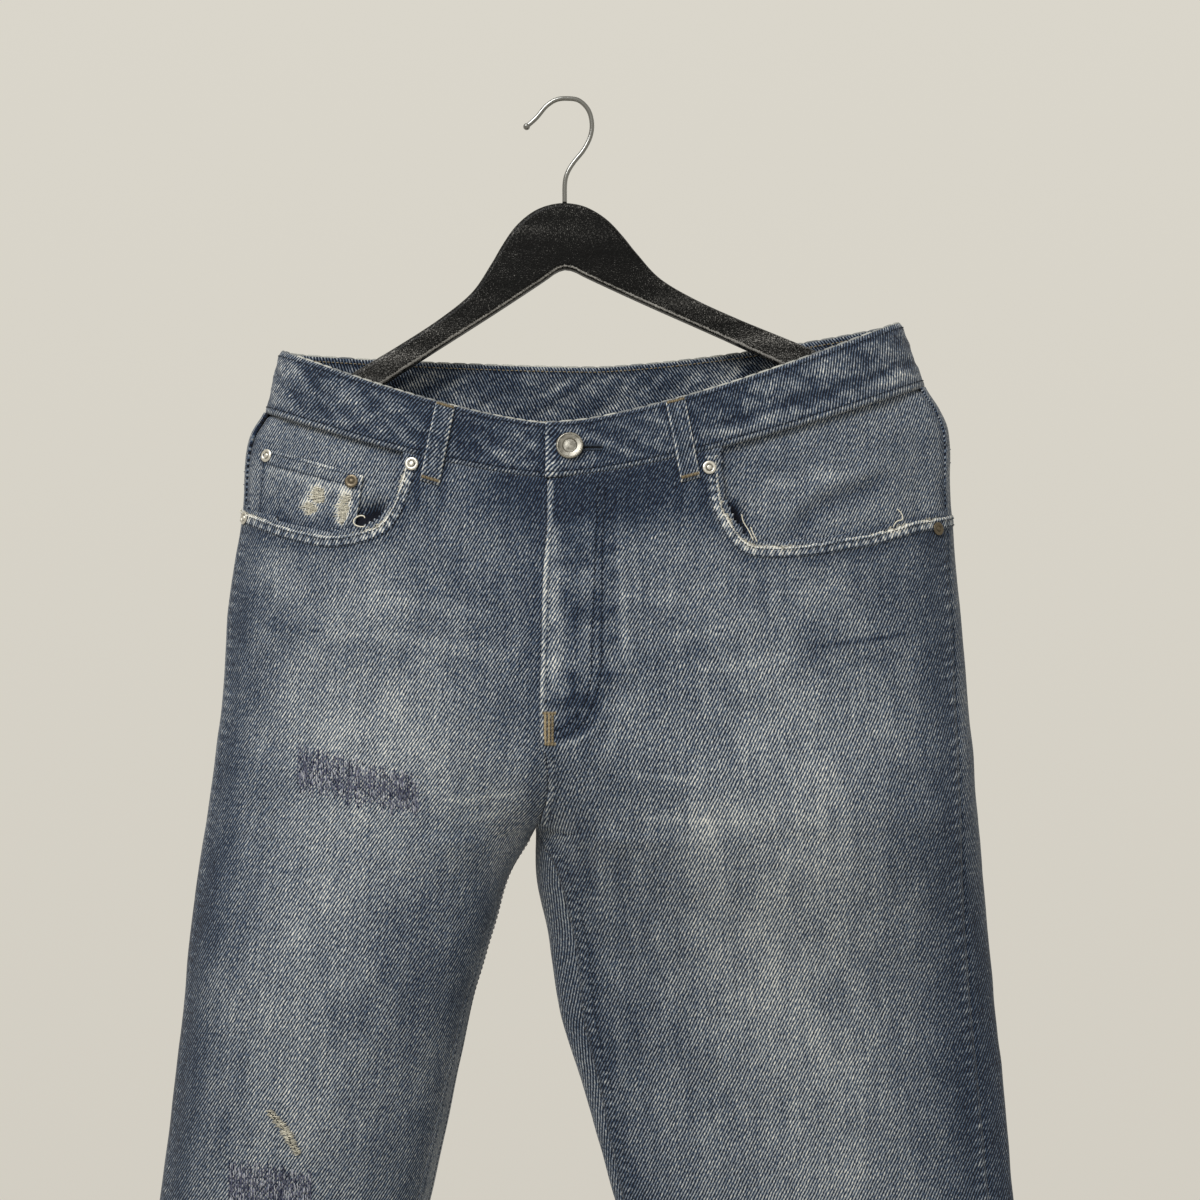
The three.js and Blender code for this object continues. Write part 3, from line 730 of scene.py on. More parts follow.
@dataclass(frozen=True)
class StainedWood(Finish):
    """Lotus wood stained black: fine open pores catch the light under a thin satin lacquer."""

    name: str = "black_stained_wood"

    def pattern(self, tree: Tree) -> dict[str, object]:
        """The shader's inputs.

        Args:
            tree: The material's node tree.

        Returns:
            The inputs; the board's grain runs along X.
        """
        place = add_node(tree, "TexCoord").outputs["Object"]
        drawn = add_node(tree, "Mapping", {}, {"Vector": place, "Scale": (620.0, 800.0, 900.0)}).outputs[0]
        pores = add_node(tree, "TexNoise", {},
                         {"Vector": drawn, "Scale": 1.0, "Detail": 3.0, "Roughness": 0.6}).outputs["Fac"]
        drawn = add_node(tree, "Mapping", {}, {"Vector": place, "Scale": (9.0, 60.0, 95.0)}).outputs[0]
        broad = add_node(tree, "TexNoise", {}, {"Vector": drawn, "Scale": 1.0, "Detail": 4.0}).outputs["Fac"]
        speck = add_node(tree, "TexNoise", {},
                         {"Vector": place, "Scale": 1500.0, "Detail": 1.0}).outputs["Fac"]
        pitted = add_node(tree, "Math", MULTIPLY, (pores, 0.6)).outputs[0]
        level = add_node(tree, "Math", MULTIPLY_ADD, (broad, 0.36, pitted)).outputs[0]
        level = swung(tree, speck, 1.0, level)
        # The arms have lost more of their stain than the crown.
        away = add_node(tree, "SeparateXYZ", {}, (place,)).outputs[0]
        away = add_node(tree, "Math", {"operation": "ABSOLUTE"}, (away,)).outputs[0]
        away = add_node(tree, "Math", MAXIMUM, (away, 0.03)).outputs[0]
        away = add_node(tree, "Math", {"operation": "MINIMUM"}, (away, 0.15)).outputs[0]
        level = add_node(tree, "Math", MULTIPLY_ADD, (away, 1.4, level)).outputs[0]
        # The arris below is painted pale along its whole length, where its bevel faces halfway down: a
        # painted highlight.
        normal = add_node(tree, "NewGeometry").outputs["Normal"]
        turned = add_node(tree, "SeparateXYZ", {}, (normal,)).outputs[2]
        turned = add_node(tree, "Math", ADD, (turned, 0.5)).outputs[0]
        turned = add_node(tree, "Math", {"operation": "ABSOLUTE"}, (turned,)).outputs[0]
        arris_highlight = add_node(tree, "Math", MULTIPLY_ADD, (turned, -3.5, 1.0)).outputs[0]
        arris_highlight = add_node(tree, "Math", MAXIMUM, (arris_highlight, 0.0)).outputs[0]
        level = add_node(tree, "Math", MULTIPLY_ADD, (arris_highlight, 0.5, level)).outputs[0]
        stops = ((0.40, "010101"), (0.56, "050505"), (0.66, "1b1b1a"), (0.80, "5a5957"), (1.0, "a3a19d"))
        colour = add_node(tree, "ValToRGB", {"stops": stops}, (level,)).outputs["Color"]
        rough = add_node(tree, "Math", MULTIPLY_ADD, (pores, 0.4, 0.22)).outputs[0]
        bump = add_node(tree, "Bump", {}, {"Height": pores, "Strength": 0.5, "Distance": 0.0003})
        return {"Base Color": colour, "Normal": bump.outputs[0], "Roughness": rough,
                "Specular IOR Level": 0.11}


@dataclass(frozen=True)
class PlatedMetal(Finish):
    """Plated metal: bright on the rims that hands rub, darker where tarnish and dust stay."""

    name: str
    dark: str
    bright: str
    roughness: float
    tarnish: float

    def pattern(self, tree: Tree) -> dict[str, object]:
        """The shader's inputs.

        Args:
            tree: The material's node tree.

        Returns:
            The inputs, read from how hollow each spot is and from a fine cloudy film.
        """
        place = add_node(tree, "TexCoord").outputs["Object"]
        film = add_node(tree, "TexNoise", {}, {"Vector": place, "Scale": 420.0, "Detail": 4.0}).outputs["Fac"]
        rim = add_node(tree, "NewGeometry").outputs["Pointiness"]
        level = swung(tree, film, self.tarnish, swung(tree, rim, 6.0, 0.62))
        stops = ((0.2, self.dark), (0.75, self.bright))
        colour = add_node(tree, "ValToRGB", {"stops": stops}, (level,)).outputs["Color"]
        rough = add_node(tree, "Math", MULTIPLY_ADD, (film, 0.2, self.roughness)).outputs[0]
        bump = add_node(tree, "Bump", {}, {"Height": film, "Strength": 0.15, "Distance": 0.0002})
        return {"Base Color": colour, "Normal": bump.outputs[0], "Roughness": rough, "Metallic": 1.0}


@dataclass(frozen=True)
class PaintedFloor(Finish):
    """A pale matt floor of painted plaster, with a faint unevenness."""

    name: str = "pale_floor"

    def pattern(self, tree: Tree) -> dict[str, object]:
        """The shader's inputs.

        Args:
            tree: The material's node tree.

        Returns:
            The inputs.
        """
        place = add_node(tree, "TexCoord").outputs["Object"]
        cloud = add_node(tree, "TexNoise", {}, {"Vector": place, "Scale": 3.0, "Detail": 5.0}).outputs["Fac"]
        stops = ((0.3, "cfccc4"), (0.7, "d5d2cb"))
        colour = add_node(tree, "ValToRGB", {"stops": stops}, (cloud,)).outputs["Color"]
        return {"Base Color": colour, "Roughness": 0.85}


class Finishes:
    """Every finish of the object, made once."""

    def __init__(self) -> None:
        """Makes the materials."""
        self.denim = Denim("faded_indigo_denim").make()
        self.dark_denim = Denim("indigo_waistband_denim", contrast=0.95, inside_gain=0.08).make()
        self.navy_thread = Thread("indigo_topstitch_thread", "0a0f1a", "566272").make()
        self.ochre_thread = Thread("ochre_bartack_thread", "3a2f20", "b3a383").make()
        self.raw_cotton = Thread("frayed_cotton_yarn", "77766f", "dcd8c8").make()
        self.raw_cotton_dull = Thread("pale_darning_thread", "6d7184", "b0b3bd").make()
        self.worn_fold = Thread("rubbed_fold_cotton", "4a5058", "b3b3ac").make()
        # A near-black finish that paints the shade inside narrow slits.
        self.shade_slit = Thread("painted_shade_gap", "0c0e12", "16191f").make()
        self.darning = Thread("darning_thread", "1b1f38", "7e8196").make()
        self.wood = StainedWood().make()
        self.steel = PlatedMetal("nickel_plated_wire", "2b2b2b", "82827f", 0.12, 0.3).make()
        self.silver = PlatedMetal("antique_silver_plate", "2a2824", "8f8c83", 0.26, 0.9).make()
        self.rubbed_silver = PlatedMetal("rubbed_silver_plate", "2b2a27", "d2cfc6", 0.28, 0.6).make()
        self.bronze = PlatedMetal("antique_bronze_plate", "17140f", "6a6152", 0.32, 0.9).make()


def dress(piece: bpy.types.Object, material: bpy.types.Material, slot: str, *nodes: str) -> None:
    """Gives a piece its material and its body, and hides the frame nodes that it stands for.

    Args:
        piece: The piece.
        material: Its finish.
        slot: The record's material slot; not used.
        *nodes: Frame nodes that it replaces.
    """
    piece.data.materials.append(material)
    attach(piece, "root")
    if nodes:
        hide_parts(*nodes)
    LOG.info("%s: %d faces", piece.name, len(piece.data.polygons))


# ---------------------------------------------------------------- the cloth of one side
@dataclass(frozen=True)
class Streak:
    """A line on the cloth along which it is paler, darker or raised."""

    path: Stations
    width: float
    wear_and_shade: float = 0.0
    rise: float = 0.0
    fade: float = 0.3

    def weight(self, x: np.ndarray, z: np.ndarray) -> np.ndarray:
        """How strongly the streak is felt at each point, from 0 to 1.

        Args:
            x: Where each point is from side to side, in millimetres.
            z: Its height, in millimetres.

        Returns:
            The weight, which fades towards both ends.
        """
        path = np.array(self.path, float)
        runs = lengths_along(path)
        best = np.full(np.shape(x), 1e9)
        place = np.zeros(np.shape(x))
        for k in range(len(path) - 1):
            (ax, az), (bx, bz) = path[k], path[k + 1]
            span = runs[k + 1] - runs[k]
            t = np.clip(((x - ax) * (bx - ax) + (z - az) * (bz - az)) / span ** 2, 0, 1)
            away = np.hypot(x - ax - t * (bx - ax), z - az - t * (bz - az))
            nearer = away < best
            best = np.where(nearer, away, best)
            place = np.where(nearer, (runs[k] + t * span) / runs[-1], place)
        ends = 1.0
        if self.fade > 0:
            ends = step(place, 0, self.fade) * step(1 - place, 0, self.fade)
        return bell(best, self.width) * ends


# Pale creases that sitting has rubbed across the hips and the crotch, dark crease lines
# painted in as shade, dark lines of painted shade in the grooves beside the fly's stitching,
# and the soft pale runs down the front of both thighs.
FRONT_STREAKS = (
    Streak(((-137, -337), (-80, -343), (-28, -352)), 4.5, wear_and_shade=0.09),
    Streak(((-169, -357), (-90, -366), (-15, -378)), 4.5, wear_and_shade=0.09),
    Streak(((-214, -313), (-190, -322), (-169, -339)), 12, wear_and_shade=0.11),
    Streak(((-205, -352), (-180, -358), (-150, -361)), 5, wear_and_shade=-0.09),
    Streak(((-70, -375), (-85, -430), (-95, -470)), 20, wear_and_shade=0.05),
    Streak(((30, -336), (60, -338), (87, -339)), 4.5, wear_and_shade=0.10),
    Streak(((49, -366), (90, -360), (126, -352)), 4.5, wear_and_shade=0.08),
    Streak(((65, -382), (110, -381), (165, -374)), 2.6, wear_and_shade=0.09),
    Streak(((80, -400), (88, -470), (92, -560)), 9, wear_and_shade=0.06),
    Streak(((87, -467), (115, -473), (139, -480)), 11, wear_and_shade=0.09),
    Streak(((-86, -468), (-50, -465), (-15, -461)), 1.9, wear_and_shade=0.13),
    Streak(((-70, -480), (-50, -477), (-30, -474)), 1.6, wear_and_shade=0.12),
    Streak(((28, -449), (50, -451), (94, -454)), 1.8, wear_and_shade=0.17),
    Streak(((41, -477), (85, -480), (126, -481)), 1.7, wear_and_shade=0.14),
    Streak(((92, -482), (96, -488), (97, -494)), 2.4, wear_and_shade=0.16),
    Streak(((151, -369), (193, -366), (235, -359)), 1.9, wear_and_shade=-0.24),
    Streak(((180, -377), (205, -376), (228, -372)), 4.5, wear_and_shade=-0.07),
    Streak(((35, -290), (38, -340), (41, -395)), 3.2, wear_and_shade=0.15, rise=0.7),
    Streak(((43, -283), (47, -330), (44, -370)), 2.0, wear_and_shade=0.10, rise=0.3),
    Streak(((28, -395), (32, -425), (20, -455)), 3.5, wear_and_shade=0.10, rise=0.4),
    Streak(((14, -470), (12, -500), (18, -540)), 4.0, wear_and_shade=-0.10, rise=-0.6),
    Streak(((26.5, -268), (24.5, -302), (24.1, -348), (23.5, -384), (21.1, -396), (14.9, -413), (6, -422.5),
            (-5, -427.6)), 1.2, wear_and_shade=-0.15, rise=-0.35, fade=0),
    Streak(((21.2, -268), (20.4, -299), (17.9, -360), (17.1, -388), (15, -399), (10, -410), (2.5, -418.4),
            (-6, -422)), 1.0, wear_and_shade=-0.12, rise=-0.3, fade=0),
    Streak(((28.5, -400), (21, -420), (8, -429), (-4, -433)), 1.6, wear_and_shade=0.22, rise=0.3, fade=0.12),
    Streak(((-22, -300), (-24, -380), (-30, -430)), 6, wear_and_shade=-0.05, rise=0.3),
)
# Where the fly's hidden buttons have rubbed from behind.
BUTTON_RUBS = ((31, -306), (31.5, -322), (31.5, -345), (30.5, -364), (29, -388),
               (8, -345), (6, -388), (9, -306))


@dataclass(frozen=True)
class ThighFade:
    """The pale run down one thigh: middle and half width, as shares of the leg's width, and strength."""

    middle: Curve
    half_width: Curve
    strength: Curve


FADES = {
    Side.RIGHT: ThighFade(
        Curve((-260, 0.7), (-330, 0.66), (-405, 0.55), (-530, 0.56), (-660, 0.55), (-1290, 0.5)),
        Curve((-260, 0.42), (-405, 0.42), (-530, 0.30), (-700, 0.26), (-1290, 0.26)),
        Curve((-260, 0.02), (-310, 0.10), (-360, 0.17), (-430, 0.24), (-560, 0.25), (-750, 0.22),
              (-900, 0.16), (-1290, 0.12)),
    ),
    Side.LEFT: ThighFade(
        Curve((-260, 0.6), (-330, 0.6), (-405, 0.58), (-530, 0.53), (-660, 0.48), (-1290, 0.5)),
        Curve((-260, 0.4), (-405, 0.36), (-530, 0.30), (-700, 0.25), (-1290, 0.26)),
        Curve((-260, 0.03), (-310, 0.08), (-360, 0.12), (-430, 0.22), (-560, 0.29), (-750, 0.24),
              (-900, 0.16), (-1290, 0.12)),
    ),
}


class ClothSide:
    """The cloth of one side as a fine grid, from the band's top to the foot and all the way round."""

    def __init__(self, form: SideForm) -> None:
        """Lays out the grid.

        Args:
            form: Where this side lies, level by level.
        """
        self.form = form
        self.side = form.side
        levels = []
        for t in np.linspace(0, 1, BAND_ROWS + 1):
            levels.append(Level.torso(form, mixed(form.band_top, form.band_seam, t),
                                      mixed(TORSO.front_top, TORSO.front_seam, t),
                                      mixed(TORSO.back_top, TORSO.back_seam, t)))
        for t in np.linspace(0, 1, TORSO_ROWS + 1)[1:]:
            levels.append(Level.torso(form, mixed(form.band_seam, CROTCH_Z, t),
                                      mixed(TORSO.front_seam, CROTCH_Z, t),
                                      mixed(TORSO.back_seam, CROTCH_Z, t)))
        for z in [*np.linspace(CROTCH_Z, THIGH_END_Z, THIGH_ROWS + 1)[1:],
                  *np.linspace(THIGH_END_Z, HEM_Z, SHIN_ROWS + 1)[1:]]:
            levels.append(Level.leg(form, float(z)))
        self.first_leg = BAND_ROWS + TORSO_ROWS
        self.base = np.stack([level.ring(FRONT_COLUMNS, BACK_COLUMNS) for level in levels])
        self.width = np.array([abs(level.outer - level.front_end) for level in levels])[:, None]
        self.inner_x = np.array([level.front_end for level in levels])[:, None]
        self.grain_x = np.array([form.outer(min(level.z_side, PLUMB_Z)) for level in levels])[:, None]
        self.finders: dict[bool, tuple[KDTree, np.ndarray]] = {}
        self.soften_fold()

    @property
    def x(self) -> np.ndarray:
        """Each grid point's place from side to side."""
        return self.base[..., 0]

    @property
    def z(self) -> np.ndarray:
        """Each grid point's height."""
        return self.base[..., 2]

    def soften_fold(self) -> None:
        """Rounds off the change of slope where the torso's form passes into the leg's."""
        rows = slice(self.first_leg - 60, self.first_leg + 61)
        depth = self.base[rows, :, 1]
        soft = depth.copy()
        for _ in range(180):
            soft[1:-1] = (soft[:-2] + 2 * soft[1:-1] + soft[2:]) / 4
        share = np.abs(self.base[rows, :, 0] - self.inner_x[rows]) / self.width[rows]
        self.base[rows, :, 1] = depth + (soft - depth) * step(share, 0.03, 0.25)

    def settle(self, other: "ClothSide") -> None:
        """Works out the normals, the weave position, the relief, and the wear with its painted shade.

        Args:
            other: The other side, which this one meets down the middle.
        """
        grid, legs = self.base, self.first_leg
        before, after = np.roll(grid, 1, axis=1), np.roll(grid, -1, axis=1)
        before[legs:, 0], after[legs:, -1] = grid[legs:, -2], grid[legs:, 1]
        before[:legs, 0], after[:legs, -1] = other.base[:legs, 1], other.base[:legs, -2]
        down = unit(np.gradient(grid, axis=0))
        self.normals = unit(np.cross(unit(after - before), down)) * -self.side.value
        steps = np.linalg.norm(np.diff(grid, axis=1), axis=2)
        arc = np.concatenate([np.zeros((len(grid), 1)), np.cumsum(steps, axis=1)], axis=1)
        falls = np.linalg.norm(np.diff(grid, axis=0), axis=2)
        drop = np.concatenate([np.zeros((1, grid.shape[1])), np.cumsum(falls, axis=0)])
        self.from_inner = arc
        self.from_outseam = arc[:, FRONT_COLUMNS:FRONT_COLUMNS + 1] - arc
        self.run = drop
        # The grain hangs plumb over the hips, and runs parallel to the outer fold below.
        grain = grid[..., 0] - (self.grain_x - self.side.value * GRAIN_INSET)
        column = np.argmax(grain[:, :FRONT_COLUMNS] * self.side.value > 0, axis=1)
        rows = np.arange(len(grid))
        past, reach = grain[rows, column], grain[rows, column] - grain[rows, column - 1]
        origin = arc[rows, column] - (arc[rows, column] - arc[rows, column - 1]) * past / reach
        self.uv = np.stack([self.side.value * (arc - origin[:, None]), grid[..., 2]], axis=-1) * MM
        self.share = np.clip(np.abs(self.x - self.inner_x) / self.width, 0, 1)
        self.front = np.zeros(grid.shape[:2], bool)
        self.front[:, :FRONT_COLUMNS + 1] = True
        self.relief = self.make_relief()
        self.wear_and_shade = self.make_wear_and_shade()
        self.grid = grid + self.normals * self.relief[..., None]

    def puckers(self) -> np.ndarray:
        """The wave that sewing has pulled into the outseam, from -1 to 1."""
        drift = lattice_noise(self.run, self.x * 0, 31, 13 + self.side.value)
        return np.sin(self.run * 2 * math.pi / OUTSEAM_PUCKERS + 2.2 * drift)

    def make_relief(self) -> np.ndarray:
        """How far the cloth stands out from its form at each point, in millimetres."""
        x, z, front = self.x, self.z, self.front
        seed = 11 + self.side.value
        height = 0.5 * lattice_noise(x + 3 * z, z, 70, seed) + 0.22 * lattice_noise(x, z, 17, seed + 5)
        height = height + 1.6 * lattice_noise(x, z, 150, seed + 9) * step(z, -480, -640)
        pucker = self.puckers()
        seam = self.from_outseam
        below = step(z, -275, -300)
        height = height + (0.75 + 0.45 * pucker) * bell(seam - 3.2, 3.4) * below
        height = height - 0.9 * bell(seam + 0.8, 1.5) * below
        if self.side is Side.LEFT:
            # The left front is folded over the opening and stitched down in a J.
            lap = step(z, -455, -425) * front
            height = height + 1.3 * lap * step(x, 34, 20)
            for bump_x, bump_z in BUTTON_RUBS:
                height = height + 0.8 * bell(np.hypot(x - bump_x, (z - bump_z) * 1.3), 5.5) * front
            legs = step(z, -480, -500)
            double = np.sin(self.run * 2 * math.pi / INSEAM_PUCKERS)
            height = height + legs * (0.7 + 0.4 * double) * bell(self.from_inner - 5, 4.2)
        for streak in FRONT_STREAKS:
            if streak.rise and (np.mean([p[0] for p in streak.path]) > -10) == (self.side is Side.LEFT):
                height = height + streak.rise * streak.weight(x, z) * front
        # The hanger's tips press the hips out from inside.
        tip = (-208, -222) if self.side is Side.RIGHT else (206, -205)
        height = height + 1.2 * bell(np.hypot(x - tip[0], z - tip[1]), 20)
        return height

    def make_wear_and_shade(self) -> np.ndarray:
        """How far the indigo has worn away at each point, from 0 to 1, lowered where shade is painted."""
        x, z, front = self.x, self.z, self.front
        seed = 40 + self.side.value
        fade = FADES[self.side]
        down = self.z.mean(axis=1)
        middle, half, strength = (np.array([curve(v) for v in down])[:, None]
                                  for curve in (fade.middle, fade.half_width, fade.strength))
        wear_and_shade = 0.30 + strength * 0.8 * bell(self.share - middle, half) * np.where(front, 1.0, 0.75)
        wear_and_shade = wear_and_shade + 0.05 * lattice_noise(x, z, 42, seed)
        wear_and_shade = wear_and_shade + 0.045 * lattice_noise(x * 1.6, z * 0.5, 12, seed + 1)
        wear_and_shade = wear_and_shade + 0.03 * lattice_noise(x, z, 6, seed + 2)
        for streak in FRONT_STREAKS:
            wear_and_shade = wear_and_shade + streak.wear_and_shade * streak.weight(x, z) * front
        # The sides of the hips and the outer folds of the legs keep more of their dye.
        wear_and_shade = wear_and_shade - 0.045 * step(z, -480, -540) * step(z, -1150, -950)
        wear_and_shade = wear_and_shade - 0.10 * front * step(self.share, 0.55, 0.95) * step(z, -560, -480)
        wear_and_shade = wear_and_shade - 0.09 * step(self.share, 0.78, 1.0) * step(z, -470, -540) * step(z, -1150, -1000)
        wear_and_shade = wear_and_shade + 0.07 * bell(self.share - 0.5, 0.3) * bell(z + 400, 80) * ~front
        # Painted shade under the band, where the cloth folds in, darkest beside the fly and near the middle
        # of the front.
        band_shade = step(z, -305, -268) * front
        near_fly = step(np.abs(x - 5), 105, 40)
        wear_and_shade = wear_and_shade - band_shade * near_fly * (0.38 if self.side is Side.LEFT else 0.13)
        wear_and_shade = wear_and_shade - 0.09 * step(z, -330, -290) * front * step(np.abs(x), 70, 20)
        # Seams wear pale on their ridges and stay dark in the puckers beside them.
        pucker = self.puckers()
        below = step(z, -275, -300)
        wear_and_shade = wear_and_shade + below * (0.20 * pucker + 0.03) * bell(self.from_outseam - 3.5, 5)
        wear_and_shade = wear_and_shade - below * 0.13 * step(np.abs(self.from_outseam), 40, 8)
        wear_and_shade = wear_and_shade - 0.10 * step(self.from_inner, 26, 6) * front * step(z, -430, -520)
        if self.side is Side.LEFT:
            lap = step(z, -425, -410) * front
            ruffle = lattice_noise(x, z, 7, seed + 6)
            wear_and_shade = wear_and_shade + lap * 0.23 * bell(x + 6.5, 5.5) * step(z, -275, -300)
            wear_and_shade = wear_and_shade + lap * (0.15 * ruffle - 0.055) * step(x, 30, 24)
            for rub_x, rub_z in BUTTON_RUBS:
                wear_and_shade = wear_and_shade - 0.24 * bell(np.hypot(x - rub_x, z - rub_z), 3.6) * front
            foot = bell(x - 2, 15) * front
            wear_and_shade = wear_and_shade - 0.26 * foot * bell(z + 404, 4.5) - 0.2 * foot * bell(z + 420, 7)
            double = np.sin(self.run * 2 * math.pi / INSEAM_PUCKERS)
            wear_and_shade = wear_and_shade + step(z, -480, -500) * (0.22 * double) * bell(self.from_inner - 5, 5.5)
        else:
            # Painted shadow of the left front's folded fly edge on the right front.
            wear_and_shade = wear_and_shade - 0.10 * bell(x + 16, 5) * step(z, -500, -460) * front
        # Painted shadow beside each front belt loop.
        for loop in FRONT_LOOPS:
            loop_shadow = bell(np.abs(x - loop.low) - loop.width / 2 - 1.5, 2.2) * step(z, -284, -277)
            wear_and_shade = wear_and_shade - 0.20 * loop_shadow * front
        # Painted shade along the foot of each pocket hem, beside the opening.
        halo = np.full(x.shape, 1e9)
        for point in spread(np.array(OPENINGS[self.side]), 90):
            halo = np.minimum(halo, np.hypot(x - point[0], z - point[1]))
        wear_and_shade = wear_and_shade - 0.13 * bell(halo - 9, 6) * front
        return wear_and_shade

    def seek(self, spots: np.ndarray, is_front: bool = True) -> np.ndarray:
        """Finds where given places lie on the grid, seen from the front or from behind.

        Args:
            spots: Places as x and z, in millimetres, in an array of any shape.
            is_front: Whether the front or the back is meant.

        Returns:
            The grid row and column of each, as fractions.
        """
        first, last = (0, FRONT_COLUMNS + 12) if is_front else (FRONT_COLUMNS + 2, ALL_COLUMNS)
        if is_front not in self.finders:
            self.finders[is_front] = self.finder(first, last, -1 if is_front else 1)
        tree, places = self.finders[is_front]
        wanted = spots.reshape(-1, 2)
        place = np.array([places[tree.find((x, 0.0, z))[1]] for x, z in wanted], float)
        seen = self.base[..., [0, 2]]
        for _ in range(6):
            by_row = sample(seen, place + [0.5, 0]) - sample(seen, place - [0.5, 0])
            by_column = sample(seen, place + [0, 0.5]) - sample(seen, place - [0, 0.5])
            miss = wanted - sample(seen, place)
            area = by_row[:, 0] * by_column[:, 1] - by_row[:, 1] * by_column[:, 0]
            area = np.where(np.abs(area) < 1e-3, 1e-3, area)
            rows = (miss[:, 0] * by_column[:, 1] - miss[:, 1] * by_column[:, 0]) / area
            columns = (miss[:, 1] * by_row[:, 0] - miss[:, 0] * by_row[:, 1]) / area
            place = place + np.clip(np.stack([rows, columns], 1), -1.5, 1.5)
            place[:, 0] = np.clip(place[:, 0], 0, len(self.base) - 1)
            place[:, 1] = np.clip(place[:, 1], first, last)
        return place.reshape(spots.shape)

    def finder(self, first: int, last: int, way: int) -> tuple[KDTree, np.ndarray]:
        """Sorts the grid points that face one way, to find the nearest to a place.

        Args:
            first: First grid column.
            last: Last grid column.
            way: Which way along Y the cloth faces there, -1 or 1.

        Returns:
            The sorted points and the row and column of each.
        """
        places = np.argwhere(self.normals[:, first:last + 1, 1] * way > 0.02) + [0, first]
        tree = KDTree(len(places))
        for number, (i, j) in enumerate(places):
            tree.insert((self.x[i, j], 0.0, self.z[i, j]), number)
        tree.balance()
        return tree, places

    def at(self, place: np.ndarray, lift: float | np.ndarray = 0.0) -> np.ndarray:
        """Points on the cloth's face at grid places, lifted off along its normal."""
        return sample(self.grid, place) + sample(self.normals, place) * np.asarray(lift)[..., None]

    def sheet_at(self, spots: np.ndarray, lift: float | np.ndarray) -> np.ndarray:
        """Points on the front's face at x and z places, lifted off along its normal."""
        return self.at(self.seek(spots), lift)

    def sew(self, parts: MeshParts, place: np.ndarray, stitch: Stitch, shade: float) -> None:
        """Sews a row of stitches through grid places."""
        stitch.sew(parts, self.at(place, 0.1), unit(sample(self.normals, place)), shade)

    def sew_along(self, parts: MeshParts, path: Stations, stitch: Stitch,
                  shade: float) -> None:
        """Sews a row of stitches over the front, along a path of x and z points."""
        self.sew(parts, self.seek(smooth_line(path, 1.2)), stitch, shade)

    def sew_down(self, parts: MeshParts, column: float, rows: tuple[int, int], stitch: Stitch,
                 shade: float) -> None:
        """Sews a row of stitches down a grid column, between two grid rows."""
        steps = np.linspace(rows[0], rows[1], (rows[1] - rows[0]) * 2)
        self.sew(parts, np.stack([steps, np.full(len(steps), column)], axis=1), stitch, shade)


def mixed(first: float, second: float, share: float | np.ndarray) -> float | np.ndarray:
    """The value that share of the way from first to second."""
    return first + (second - first) * share


def sample(grid: np.ndarray, place: np.ndarray) -> np.ndarray:
    """Reads a grid between its points.

    Args:
        grid: One value, or one point, for each row and column.
        place: Rows and columns as fractions, in an array of any shape.

    Returns:
        What the grid holds at each place.
    """
    row = np.clip(place[..., 0], 0, grid.shape[0] - 1.001)
    column = np.clip(place[..., 1], 0, grid.shape[1] - 1.001)
    i, j = np.floor(row).astype(int), np.floor(column).astype(int)
    s, t = row - i, column - j
    if grid.ndim == 3:
        s, t = s[..., None], t[..., None]
    low = grid[i, j] * (1 - t) + grid[i, j + 1] * t
    high = grid[i + 1, j] * (1 - t) + grid[i + 1, j + 1] * t
    return low * (1 - s) + high * s


def smooth_line(stations: np.ndarray, pitch: float) -> np.ndarray:
    """A smooth line through a few stations.

    Args:
        stations: Rows of x and z.
        pitch: About how far apart the line's points are.

    Returns:
        The line's points, evenly spaced.
    """
    stations = np.array(stations, float)
    ends = np.concatenate([[2 * stations[0] - stations[1]], stations, [2 * stations[-1] - stations[-2]]])
    runs = []
    for k in range(1, len(ends) - 2):
        a, b, c, d = ends[k - 1:k + 3]
        t = np.linspace(0, 1, 24)[:-1, None]
        runs.append(0.5 * (2 * b + (c - a) * t + (2 * a - 5 * b + 4 * c - d) * t ** 2
                           + (3 * b - a - 3 * c + d) * t ** 3))
    line = np.concatenate([*runs, stations[-1:]])
    return spread(line, max(int(lengths_along(line)[-1] / pitch), 2))


def aside_of(line: np.ndarray) -> np.ndarray:
    """The direction to the right of a line of x and z points, as it runs."""
    along = unit(np.gradient(line, axis=0))
    return np.stack([along[:, 1], -along[:, 0]], axis=1)


# Upper edges of the pocket openings, from the side seam round to the waist seam.
OPENINGS = {
    Side.RIGHT: ((-219.5, -278.2), (-210, -281.5), (-198.2, -285.7), (-184.6, -290.7), (-169.7, -294.4),
                 (-155.2, -297.2), (-142.5, -296.8), (-128.3, -293.6), (-119.1, -289.2), (-112.6, -281.3),
                 (-108.1, -270.4), (-104.9, -258.5), (-102, -247)),
    Side.LEFT: ((262, -281), (252.8, -283.6), (231.3, -287.2), (215.8, -291.6), (199.5, -296),
                (180.9, -299.2), (164.1, -302.2), (142.7, -304.1), (124, -303.6), (115.7, -300.1),
                (108.7, -291), (102.3, -278.2), (100.1, -266.5), (98.5, -245.4)),
}


# Long ends that stand up from the worn edge of the left pocket.
LOOSE_ENDS = (
    ((213.5, -291.5), (216, -288), (219.8, -286.5), (219.5, -283), (216.5, -279.5)),
    ((121.5, -301), (118.5, -294.5), (115.2, -289), (114, -284)),
    ((124, -302), (121.2, -296), (119.6, -292)),
)


